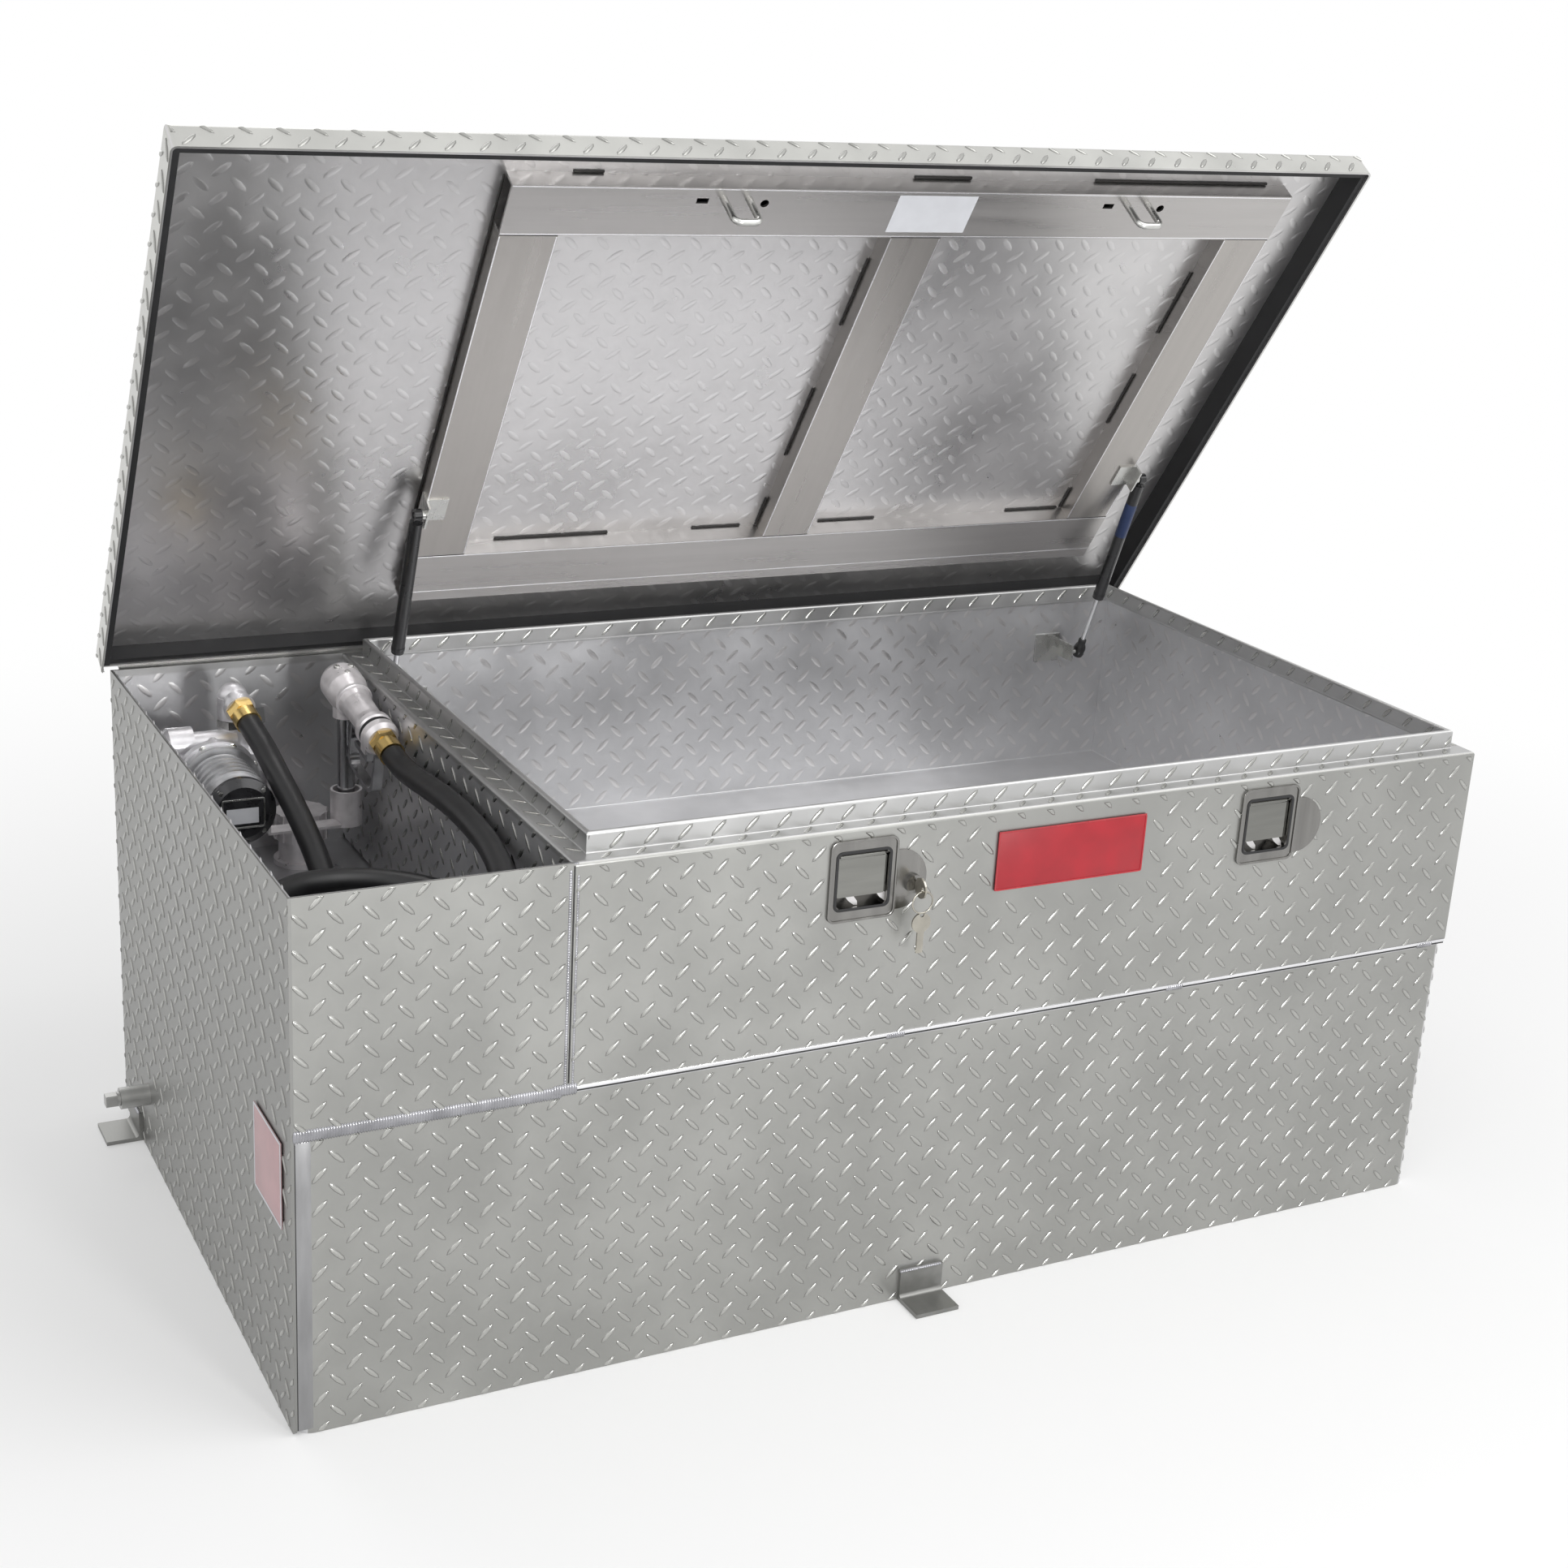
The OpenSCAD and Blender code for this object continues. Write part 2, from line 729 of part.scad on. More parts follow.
module latch_pan_left() {
  color([0.72, 0.72, 0.72]) placed() {
    translate([latch_left_x, 0, latch_z]) latch_pan(true);
    translate([latch_left_x, 0, latch_z]) difference() {
      rod_y(lock_dx, -pan_t - 5, lock_dz, 30, lock_r);
      rod_y(lock_dx, -pan_t - 6, lock_dz, 26, plug_r + 0.05);
    }
  }
}

module latch_pan_right() {
  color([0.72, 0.72, 0.72]) placed()
    translate([latch_right_x, 0, latch_z]) latch_pan(false);
}

// Pull plate in the upper part of the dish, turning on a pin along its top edge
module latch_paddle() {
  w = dish_w - 2;
  pin_y = 4.5;
  pin_z = dish_w / 2 - 5;
  drop = 44;
  color([0.7, 0.7, 0.7]) difference() {
    union() {
      translate([0, pin_y - 2.4, pin_z - drop]) rotate([-90, 0, 0])
        translate([-w / 2, -drop, 0]) linear_extrude(2.2) round_rect(w, drop, 4);
      rod_x(-w / 2 + 3, pin_y, pin_z, w - 6, 3);
      translate([-w / 2 + 4, pin_y - 2.4, pin_z - drop]) cube([w - 8, 8, 2.2]);
    }
    rod_x(-w, pin_y, pin_z, 2 * w, 1.55);
  }
}

module latch_paddle_left() {
  placed() translate([latch_left_x, 0, latch_z]) latch_paddle();
}

module latch_paddle_right() {
  placed() translate([latch_right_x, 0, latch_z]) latch_paddle();
}

// Jaw with an open mouth above and a curved slot that closes round the striker as it turns
module latch_jaw(x) {
  color([0.6, 0.6, 0.62]) placed()
    translate([x - jaw_t / 2, bar_y, jaw_z]) rotate([90, 0, 90])
      linear_extrude(jaw_t) difference() {
        circle(jaw_r);
        circle(jaw_pin_r + 0.05);
        translate([-jaw_slot - 0.7, jaw_reach]) square([2 * jaw_slot + 1.4, jaw_r]);
        intersection() {
          difference() {
            circle(jaw_reach + jaw_slot);
            circle(jaw_reach - jaw_slot);
          }
          polygon([
            [0, 0], [0, 40], [40, 40],
            [60 * sin(jaw_swing), 60 * cos(jaw_swing)]
          ]);
        }
        translate([0, jaw_reach]) circle(jaw_slot);
        translate([jaw_reach * sin(jaw_swing), jaw_reach * cos(jaw_swing)]) circle(jaw_slot);
      }
}

module latch_jaw_left() {
  latch_jaw(latch_left_x);
}

module latch_jaw_right() {
  latch_jaw(latch_right_x);
}

module lock_plug() {
  color([0.7, 0.68, 0.6]) placed()
    translate([latch_left_x + lock_dx, 0, latch_z + lock_dz]) difference() {
      rod_y(0, -pan_t - 5.6, 0, 25, plug_r);
      translate([-1.2, -pan_t - 8, -4.2]) cube([2.4, 22, 8.4]);
    }
}

module lock_key() {
  bow_r = 11;
  color([0.75, 0.74, 0.7]) placed()
    translate([latch_left_x + lock_dx - 1, 0, latch_z + lock_dz])
      rotate([90, 0, 90]) linear_extrude(2) difference() {
        union() {
          translate([key_y - bow_r, 0]) circle(bow_r);
          translate([key_y - 2, -3.8]) square([20, 7.6]);
        }
        translate([key_y - 1.5 * bow_r, 0]) circle(2.8);
      }
}

// Split ring through the key's bow with a second key hanging from it
module spare_key_on_ring() {
  bow_r = 11;
  ring_y = key_y - 1.5 * bow_r;
  color([0.75, 0.74, 0.7]) placed()
    translate([latch_left_x + lock_dx, ring_y, latch_z + lock_dz]) {
      translate([0, 0, -ring_r - 1.6]) rotate([90, 0, 0])
        rotate_extrude() translate([ring_r, 0]) circle(0.9);
      translate([0, 0, -2 * ring_r - 5.1]) rotate([90, 0, 0])
        translate([0, 0, -1]) linear_extrude(2) difference() {
          union() {
            translate([0, -bow_r + 3.7]) circle(bow_r);
            translate([-3.8, -bow_r - 30]) square([7.6, 32]);
          }
          translate([0, 1.9]) circle(2.8);
        }
    }
}

// Stud with a neck and a round head, along X from a bracket face
module ball_stud(x, y, z, s) {
  translate([x, y, z]) rotate([0, s * 90, 0]) {
    cylinder(h = 4, r = stud_r + 2);
    cylinder(h = 12, r = stud_r);
  }
}

// Bent plate screwed to the lower face and the outer side of a stile, with its stud
module lid_bracket(x, s) {
  h = 16;
  w = 34;
  stud_x = x + s * 2.5;
  y0 = lid_stud_y - w / 2;
  translate([s > 0 ? x - 26 : x, y0, web_z - 2.5]) cube([26, w, 2.5]);
  translate([s > 0 ? x : x - 2.5, y0, web_z - h]) cube([2.5, w, h + 12]);
  ball_stud(stud_x, lid_stud_y, lid_stud_z, s);
}

module strut_lid_brackets() {
  color([0.74, 0.74, 0.72]) lid_placed() {
    lid_bracket(frame_x0, -1);
    lid_bracket(frame_r, 1);
  }
}

// Plate on the rear wall with a leg that carries the lower stud
module box_bracket(x, s) {
  wall_y = body_w - sheet_t;
  w = 40;
  leg_x = x - s * 18;
  translate([s > 0 ? leg_x - w : leg_x, wall_y - 2.5, box_stud_z - 20]) cube([w, 2.5, 40]);
  translate([s > 0 ? leg_x - 2.5 : leg_x, box_stud_y - 12, box_stud_z - 12])
    cube([2.5, wall_y - box_stud_y + 12, 24]);
  ball_stud(leg_x, box_stud_y, box_stud_z, s);
}

module strut_box_brackets() {
  color([0.74, 0.74, 0.72]) placed() {
    box_bracket(strut_left_x, -1);
    box_bracket(strut_right_x, 1);
  }
}

// Frame with its origin at the open lid stud and its X axis along the strut
module strut_placed(x) {
  placed() translate([x, open_y, open_z]) rotate([strut_a, 0, 0]) rotate(90) children();
}

// Socket beside a stud, at the head of a strut
module strut_tube(x) {
  color([0.05, 0.05, 0.05]) strut_placed(x) difference() {
    union() {
      rotate([90, 0, 0])
        translate([0, 0, -socket_t / 2]) cylinder(h = socket_t, r = socket_r);
      rod_x(0, 0, 0, tube_start + 4, 4);
      rod_x(tube_start, 0, 0, tube_l, tube_r);
    }
    rotate([90, 0, 0]) translate([0, 0, -socket_t]) cylinder(h = 2 * socket_t, r = stud_r + 0.05);
    rod_x(tube_start + 5, 0, 0, tube_l - 5 - gland_l, tube_in_r);
    rod_x(tube_end - gland_l - 1, 0, 0, gland_l + 2, rod_r + rod_clear);
  }
}

module strut_tube_left() {
  strut_tube(strut_left_x);
}

module strut_tube_right() {
  strut_tube(strut_right_x);
}

// Rod with its piston inside the tube and a black socket beside the box stud
module strut_rod(x) {
  strut_placed(x) {
    color([0.75, 0.75, 0.75]) {
      rod_x(piston_x, 0, 0, strut_l - piston_x - socket_r - 8, rod_r);
      rod_x(piston_x, 0, 0, 9, tube_in_r - 0.1);
    }
    color([0.05, 0.05, 0.05]) {
      rod_x(strut_l - socket_r - 10, 0, 0, 10, 5.5);
      rotate([90, 0, 0]) translate([strut_l, 0, -socket_t / 2])
        cylinder(h = socket_t, r = socket_r);
    }
  }
}

module strut_rod_left() {
  strut_rod(strut_left_x);
}

module strut_rod_right() {
  strut_rod(strut_right_x);
}

module tank_bung() {
  color([0.6, 0.6, 0.58]) placed()
    translate([pump_x, pump_y, floor_z]) difference() {
      cylinder(h = bung_h, r = bung_r);
      translate([0, 0, -1]) cylinder(h = bung_h + 2, r = stem_r + 0.1);
    }
}

module suction_tube() {
  color([0.66, 0.66, 0.64]) placed()
    translate([pump_x, pump_y, sheet_t + 25]) difference() {
      cylinder(h = tank_h - sheet_t - 27, r = suction_r);
      translate([0, 0, -1]) cylinder(h = tank_h, r = suction_r - 2);
      translate([-suction_r - 1, 0, 0]) rotate([0, -35, 0]) translate([0, -50, -60]) cube([100, 100, 60]);
    }
}

// Cast pump body: stem, collar, round body with flanges, bypass cap, riser and a side block
module pump_body() {
  chamber_r = rotor_r + 3;
  cap_z = pump_z + 35;
  cap_x = pump_x - 48;
  color([0.62, 0.62, 0.6]) placed() difference() {
    union() {
      translate([pump_x, pump_y, floor_z - sheet_t + 2]) cylinder(h = bung_h + 4, r = stem_r);
      translate([pump_x, pump_y, floor_z + bung_h]) cylinder(h = 12, r = 36);
      translate([pump_x, pump_y, floor_z + bung_h + 12]) cylinder(h = 22, r1 = 34, r2 = 24);
      translate([pump_x, pump_y, floor_z + bung_h + 34])
        cylinder(h = pump_rise - bung_h - 34, r = 24);
      rod_y(pump_x, body_y0, pump_z, body_y1 - body_y0, pump_r);
      rod_y(pump_x, body_y0, pump_z, 11, pump_r + 9);
      rod_y(pump_x, body_y1, pump_z, 9, pump_r - 8);
      translate([pump_x, body_y1 + 9, pump_z]) rotate([-90, 0, 0]) cylinder(h = 6, r1 = 28, r2 = 22);
      for (i = [0:5])
        rotate_about(i * 60 + 30) rod_y(pump_x + pump_r + 1, body_y0 + 11, pump_z, 14, 6);
      rod_x(cap_x, pump_y + 8, cap_z, 28, 21);
      translate([cap_x - 5, pump_y + 8, cap_z]) rotate([0, 90, 0]) cylinder(h = 5, r1 = 16, r2 = 21);
      rod_x(cap_x + 20, pump_y + 8, cap_z, riser_x - cap_x - 20, 14);
      translate([riser_x, riser_y, pump_z]) cylinder(h = tee_z - pump_z, r = riser_r + 4);
      translate([pump_x + 28, body_y0 + 18, pump_z - 24]) cube([32, 34, 48]);
    }
    rod_y(pump_x, body_y0 - 1, pump_z, 36, chamber_r);
    rod_y(pump_x, body_y0 - 1, pump_z, body_y1 - body_y0 + 2, 6 + shaft_clear);
    translate([pump_x, pump_y, 0]) cylinder(h = pump_z - chamber_r + 4, r = 12);
    translate([riser_x, riser_y, pump_z + 12]) cylinder(h = 80, r = riser_r - 3);
  }
}

// Turns a shape around the pump's axis
module rotate_about(a) {
  translate([pump_x, 0, pump_z]) rotate([0, a, 0]) translate([-pump_x, 0, -pump_z]) children();
}

// Black motor housing in front of the pump body, with cooling ribs
module pump_motor() {
  color([0.1, 0.1, 0.11]) placed() difference() {
    union() {
      rod_y(pump_x, motor_y0, pump_z, motor_l, motor_r - 3);
      for (i = [0:4])
        rod_y(pump_x, motor_y0 + 16 + i * 14, pump_z, 6, motor_r);
      rod_y(pump_x, motor_y1, pump_z, 12, motor_r + 6);
      rod_x(pump_x - motor_r - 8, motor_y0 + 40, pump_z - 14, 30, 11);
    }
    rod_y(pump_x, motor_y0 + 8, pump_z, motor_l + 6, motor_r - 11);
  }
}

// Domed end cover of the motor with a bare raised plate
module pump_motor_cover() {
  r = motor_r - 1;
  color([0.08, 0.08, 0.09]) placed() {
    translate([pump_x, motor_y0, pump_z]) rotate([90, 0, 0]) {
      cylinder(h = cover_t, r = r);
      translate([0, 0, cover_t]) cylinder(h = 6, r1 = r, r2 = r - 9);
      translate([0, 0, cover_t + 6]) linear_extrude(1.6) round_rect_mid(50, 36, 7);
    }
  }
}

module pump_rotor() {
  color([0.6, 0.6, 0.62]) placed() difference() {
    union() {
      rod_y(pump_x, body_y0 + 3, pump_z, 28, rotor_r);
      rod_y(pump_x, motor_y0 + 14, pump_z, body_y1 - motor_y0 - 20, 6);
      rod_y(pump_x, motor_y0 + 22, pump_z, motor_l - 30, motor_r - 16);
    }
    for (i = [0:3])
      rotate_about(45 + i * 90)
        translate([pump_x + 10, body_y0 + 2, pump_z - 2]) cube([rotor_r, 30, 4]);
  }
}

module pump_vanes() {
  color([0.2, 0.2, 0.2]) placed()
    for (i = [0:3])
      rotate_about(45 + i * 90)
        translate([pump_x + 11, body_y0 + 3, pump_z - 1.9]) cube([rotor_r - 9.5, 28, 3.8]);
}

// Frame with its origin at the elbow and +Z towards the hose
module elbow_placed() {
  placed() translate([riser_x, riser_y, elbow_z])
    rotate([90 + elbow_tilt, 0, elbow_turn]) children();
}

// Hexagonal union between the riser and the elbow
module outlet_union() {
  l = elbow_z - tee_z - 26;
  color([0.75, 0.75, 0.73]) placed()
    translate([riser_x, riser_y, tee_z]) difference() {
      union() {
        cylinder(h = l, r = riser_r + 2);
        cylinder(h = 9, r = riser_r + 6, $fn = 6);
      }
      translate([0, 0, -1]) cylinder(h = l + 2, r = riser_r - 3);
    }
}

// Cast elbow that turns the outlet towards the front
module outlet_elbow() {
  color([0.7, 0.69, 0.67]) difference() {
    union() {
      placed() translate([riser_x, riser_y, elbow_z - 26]) cylinder(h = 26, r = elbow_r + 1);
      placed() translate([riser_x, riser_y, elbow_z]) sphere(r = elbow_r);
      elbow_placed() {
        cylinder(h = elbow_reach, r = elbow_r - 2);
        translate([0, 0, elbow_r]) cylinder(h = 8, r = elbow_r + 1);
      }
    }
    placed() translate([riser_x, riser_y, elbow_z - 27]) cylinder(h = 30, r = riser_r - 3);
    elbow_placed() cylinder(h = 60, r = riser_r - 3);
  }
}

// Brass hose end with a hexagon and a crimped ferrule
module hose_fitting() {
  color([0.72, 0.56, 0.24]) elbow_placed() translate([0, 0, elbow_reach]) {
    cylinder(h = 11, r = 17, $fn = 6);
    translate([0, 0, 11]) cylinder(h = fitting_l - 11, r = hose_r + 1.6);
  }
}

// Lever on the pump's right side that works the switch and blocks the nozzle's holder
module pump_switch_lever() {
  x = pump_x + 60 + seat;
  y = body_y0 + 44;
  color([0.12, 0.12, 0.12]) placed() {
    rod_x(x, y, pump_z, 10, 9);
    translate([x + 3, y, pump_z]) rotate([-20, 0, 0]) {
      translate([0, -4, 0]) cube([5, 8, 54]);
      translate([-2, -6, 50]) cube([9, 12, 18]);
    }
  }
}

module filler_neck() {
  color([0.62, 0.62, 0.6]) placed()
    translate([filler_x, filler_y, floor_z]) difference() {
      union() {
        cylinder(h = filler_h, r = filler_r);
        cylinder(h = 6, r = filler_r + 6);
      }
      translate([0, 0, -1]) cylinder(h = filler_h + 2, r = filler_r - 4);
    }
}

// Screw cap with finger ribs and a small vent on top
module filler_cap() {
  cap_z = floor_z + filler_h;
  color([0.14, 0.14, 0.14]) placed()
    translate([filler_x, filler_y, cap_z + seat]) {
      cylinder(h = 14, r = filler_r + 4);
      translate([0, 0, -20]) difference() {
        cylinder(h = 20.01, r = filler_r + 4);
        translate([0, 0, -1]) cylinder(h = 22, r = filler_r + seat);
      }
      for (i = [0:11])
        rotate(i * 30) translate([filler_r + 3, -2.5, -20]) cube([3, 5, 34]);
      translate([0, 0, 14]) cylinder(h = 4, r = 9);
    }
}

// Bracket from the pump to a cup that takes the tip of the spout
module nozzle_holder() {
  arm_y = body_y0 + 10;
  x0 = pump_x + 60;
  color([0.5, 0.5, 0.48]) placed() {
    translate([x0, arm_y, holder_z + 6]) cube([3, 24, pump_z - holder_z + 12]);
    translate([x0 + 3, arm_y, holder_z + 6]) cube([nozzle_x - x0 - 18, 24, 3]);
    translate([nozzle_x, spout_y, holder_z]) difference() {
      cylinder(h = holder_h, r = 19);
      translate([0, 0, 3]) cylinder(h = holder_h, r = 16);
    }
  }
}

// Frame with its origin at the nozzle's head and +Z along the barrel, towards the hose
module nozzle_placed() {
  placed() translate([nozzle_x, nozzle_y, nozzle_z])
    rotate([90 + nozzle_tilt, 0, nozzle_turn]) children();
}

// Round outside of the nozzle's head and barrel
module nozzle_core() {
  rotate_extrude()
    polygon([
      [0, -26], [15, -26], [head_r - 3, -19], [head_r, -12], [head_r, 12],
      [barrel_r + 3, 30], [barrel_r, 46], [barrel_r - 1, 84], [barrel_r + 1, 96],
      [barrel_r + 4, 98], [barrel_r + 4, 105], [barrel_r + 2, 107], [barrel_r + 2, 113],
      [barrel_r + 4, 115], [barrel_r + 4, 124], [barrel_r, barrel_l], [0, barrel_l]
    ]);
}

module nozzle_body() {
  color([0.7, 0.69, 0.67]) difference() {
    union() {
      nozzle_placed() {
        nozzle_core();
        for (x = [-7.6, 4.6])
          translate([x, lever_y - 5, lever_z - 7]) cube([3, 18, 14]);
        rod_x(-5, lever_y, lever_z, 10, 2);
      }
      placed() translate([nozzle_x, spout_y, nozzle_z - head_r - 10])
        cylinder(h = 18, r = spout_r + 5);
    }
    placed() translate([nozzle_x, spout_y, nozzle_z - head_r - 11])
      cylinder(h = 11, r = spout_r);
  }
}

// Spout pipe down from the head into the holder's cup
module nozzle_spout() {
  top = nozzle_z - head_r;
  color([0.72, 0.72, 0.72]) placed()
    translate([nozzle_x, spout_y, holder_z + 5]) difference() {
      cylinder(h = top - holder_z - 5, r = spout_r);
      translate([0, 0, -1]) cylinder(h = top - holder_z + 2, r = spout_r - 1.5);
    }
}

// Guard strap under the barrel, in the nozzle's own plane
module nozzle_guard() {
  color([0.68, 0.68, 0.66]) nozzle_placed() difference() {
    rotate([0, -90, 0]) translate([0, 0, -6]) linear_extrude(12) difference() {
      translate([46, -78]) round_rect(80, 68, 16);
      translate([51, -73]) round_rect(70, 78, 12);
    }
    nozzle_core();
  }
}

// Squeeze lever on its pin between the ears, inside the guard
module nozzle_lever() {
  color([0.6, 0.6, 0.6]) nozzle_placed()
    rotate([0, -90, 0]) translate([0, 0, -4]) linear_extrude(8) difference() {
      union() {
        translate([lever_z, lever_y]) circle(6);
        translate([lever_z - 32, lever_y - 16]) square([34, 7]);
        translate([lever_z - 5, lever_y - 16]) square([10, 16]);
        translate([lever_z - 32, lever_y - 12.5]) circle(3.5);
      }
      translate([lever_z, lever_y]) circle(2.05);
    }
}

// Brass swivel between the nozzle and the hose
module nozzle_swivel() {
  color([0.72, 0.56, 0.24]) nozzle_placed() translate([0, 0, barrel_l]) {
    cylinder(h = 12, r = 17, $fn = 6);
    translate([0, 0, 12]) cylinder(h = swivel_l - 12, r = hose_r + 1.6);
  }
}

// Direction of a route at one of its points, with stated directions at its ends
function route_dir(p, i, d0, d1) =
  let (a = p[max(i - 1, 0)], b = p[min(i + 1, len(p) - 1)], v = b - a)
  i == 0 ? d0 : i == len(p) - 1 ? d1 : v / norm(v);

// Smooth points along a route, several to each stretch between two chosen points
function smooth(p, n) = [
  for (i = [0:len(p) - 2])
    for (k = [0:n - 1])
      let (
        t = k / n,
        a = p[max(i - 1, 0)], b = p[i], c = p[i + 1], d = p[min(i + 2, len(p) - 1)]
      )
      0.5 * (2 * b + (c - a) * t + (2 * a - 5 * b + 4 * c - d) * t * t
        + (3 * b - a - 3 * c + d) * t * t * t),
  p[len(p) - 1]
];

// Ring of points around a route's point
function route_ring(p, i, r, v) =
  let (u0 = cross(v, [0, 0, 1]), u = u0 / norm(u0), w = cross(u, v))
  [for (k = [0:hose_sides - 1])
    let (a = k * 360 / hose_sides) p[i] + r * (u * cos(a) + w * sin(a))];

// Round tube along a route, its end faces square to the stated directions
module swept_tube(p, r, d0, d1) {
  n = len(p);
  m = hose_sides;
  pts = [for (i = [0:n - 1]) each route_ring(p, i, r, route_dir(p, i, d0, d1))];
  walls = [
    for (i = [0:n - 2])
      for (k = [0:m - 1])
        let (a = i * m + k, b = i * m + (k + 1) % m)
        each [[a, a + m, b + m], [a, b + m, b]]
  ];
  first = [for (k = [0:m - 1]) k];
  last = [for (k = [m - 1:-1:0]) (n - 1) * m + k];
  polyhedron(points = pts, faces = concat([first], [last], walls), convexity = 8);
}

module hose_pump_end() {
  color([0.09, 0.09, 0.09]) placed()
    swept_tube(smooth(pump_route, 2), hose_r, fit_dir, entry_dir);
}

module hose_nozzle_end() {
  color([0.09, 0.09, 0.09]) placed()
    swept_tube(smooth(nozzle_route, 2), hose_r, swivel_dir, join_dir);
}

// Turns of the coil as one ring, cut away where the lowest turn leaves it, and a start on top
module hose_coil() {
  color([0.09, 0.09, 0.09]) placed()
    translate([coil_x, coil_y, coil_z0]) {
      difference() {
        rotate_extrude() translate([coil_r - hose_r, 0]) round_rect(hose_d, coil_h, 10);
        rotate(entry_a - 90) translate([0, 0, -1]) cube([2 * coil_r, 2 * coil_r, hose_d + 7]);
      }
      translate([0, 0, coil_h + hose_r + seat]) rotate(entry_a)
        rotate_extrude(angle = join_a + 360 - entry_a) translate([coil_r, 0]) circle(hose_r);
    }
}

tank_shell();
tank_top_plate();
tank_baffles();
left_end_plate();
bay_front_panel();
bay_rear_panel();
toolbox_shell();
mounting_tabs();
drain_coupling();
drain_plug();
hinge_leaf_box();
hinge_leaf_lid();
hinge_pin();
lid_skin();
lid_seal();
lid_front_rail();
lid_rear_rail();
lid_left_stile();
lid_middle_stile();
lid_right_stile();
lid_strikers();
latch_pan_left();
latch_pan_right();
latch_paddle_left();
latch_paddle_right();
latch_jaw_left();
latch_jaw_right();
lock_plug();
lock_key();
spare_key_on_ring();
strut_lid_brackets();
strut_box_brackets();
strut_tube_left();
strut_tube_right();
strut_rod_left();
strut_rod_right();
tank_bung();
pump_body();
pump_motor();
pump_motor_cover();
pump_rotor();
pump_vanes();
suction_tube();
outlet_union();
outlet_elbow();
hose_fitting();
pump_switch_lever();
filler_neck();
filler_cap();
nozzle_holder();
nozzle_body();
nozzle_spout();
nozzle_guard();
nozzle_lever();
nozzle_swivel();
hose_pump_end();
hose_coil();
hose_nozzle_end();
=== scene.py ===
"""Looks of a truck bed transfer tank: a tread-plate fuel tank with a toolbox and a pump bay above it.

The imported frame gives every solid. This script adds what is too fine for it, which is the raised
bars of the tread plate, welds, bolts, the hose, blank labels and trim. It gives every piece its
finish and sets the light and the camera. Places are in millimetres from the left front bottom
corner of the tank, X to the right, Y to the rear and Z up. What sits on the lid is modelled with
the lid shut and is then swung open with it.
"""

import logging
import math
from dataclasses import dataclass, field
from enum import Enum
from typing import Optional, Sequence

import bpy
from mathutils import Matrix, Vector


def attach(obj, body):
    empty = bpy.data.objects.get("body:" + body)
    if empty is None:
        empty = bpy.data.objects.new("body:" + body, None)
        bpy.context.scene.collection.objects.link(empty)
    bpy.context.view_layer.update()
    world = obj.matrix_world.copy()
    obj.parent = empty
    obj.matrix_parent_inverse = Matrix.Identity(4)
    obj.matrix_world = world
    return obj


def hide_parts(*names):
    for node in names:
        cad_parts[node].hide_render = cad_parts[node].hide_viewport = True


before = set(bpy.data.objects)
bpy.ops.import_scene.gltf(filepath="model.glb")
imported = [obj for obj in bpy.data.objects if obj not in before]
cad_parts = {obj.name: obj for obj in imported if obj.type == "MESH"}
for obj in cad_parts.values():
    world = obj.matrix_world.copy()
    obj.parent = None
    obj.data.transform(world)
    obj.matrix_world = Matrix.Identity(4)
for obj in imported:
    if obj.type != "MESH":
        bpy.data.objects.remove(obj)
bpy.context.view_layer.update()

LOG = logging.getLogger("transfer_tank")

MM = 0.001
CORNER = Vector((711.0, 378.0, 0.0))
HINGE = Vector((0.0, 760.0, 565.0))
LID_SWING = math.radians(-56.0)

Point = tuple[float, float, float]


def place(x: float, y: float, z: float) -> Vector:
    """Turns a place in millimetres from the tank's corner into the frame's metres.

    Args:
        x: Millimetres from the left face.
        y: Millimetres from the front face.
        z: Millimetres above the ground.

    Returns:
        The point in the shared frame, in metres.
    """
    return (Vector((x, y, z)) - CORNER) * MM


def lid_swing() -> Matrix:
    """Gives the turn from the shut lid to the open one.

    Returns:
        A matrix about the hinge line, in the shared frame.
    """
    hinge = (HINGE - Vector((0.0, CORNER.y, 0.0))) * MM
    return (
        Matrix.Translation(hinge)
        @ Matrix.Rotation(LID_SWING, 4, "X")
        @ Matrix.Translation(-hinge)
    )


def facing(along: Sequence[float], up: Sequence[float], foot: Vector) -> Matrix:
    """Builds the frame of a flat panel from its two edges.

    Args:
        along: Unit way of the panel's first axis.
        up: Unit way of its second axis.
        foot: The panel's corner, in metres.

    Returns:
        A matrix that takes local X, Y and Z to along, up and outwards.
    """
    a, b = Vector(along), Vector(up)
    turn = Matrix((a, b, a.cross(b))).transposed().to_4x4()
    return Matrix.Translation(foot) @ turn


class Grain(Enum):
    """What breaks up a finish: the marks that its making or its use left."""

    MILL = "rolled sheet, soft clouds and long faint lines"
    BRUSHED = "short close lines one way"
    CAST = "fine pitted skin"
    PLATED = "smooth with faint mottling"
    MOULDED = "dull moulded skin"
    SMOOTH = "paint or print"


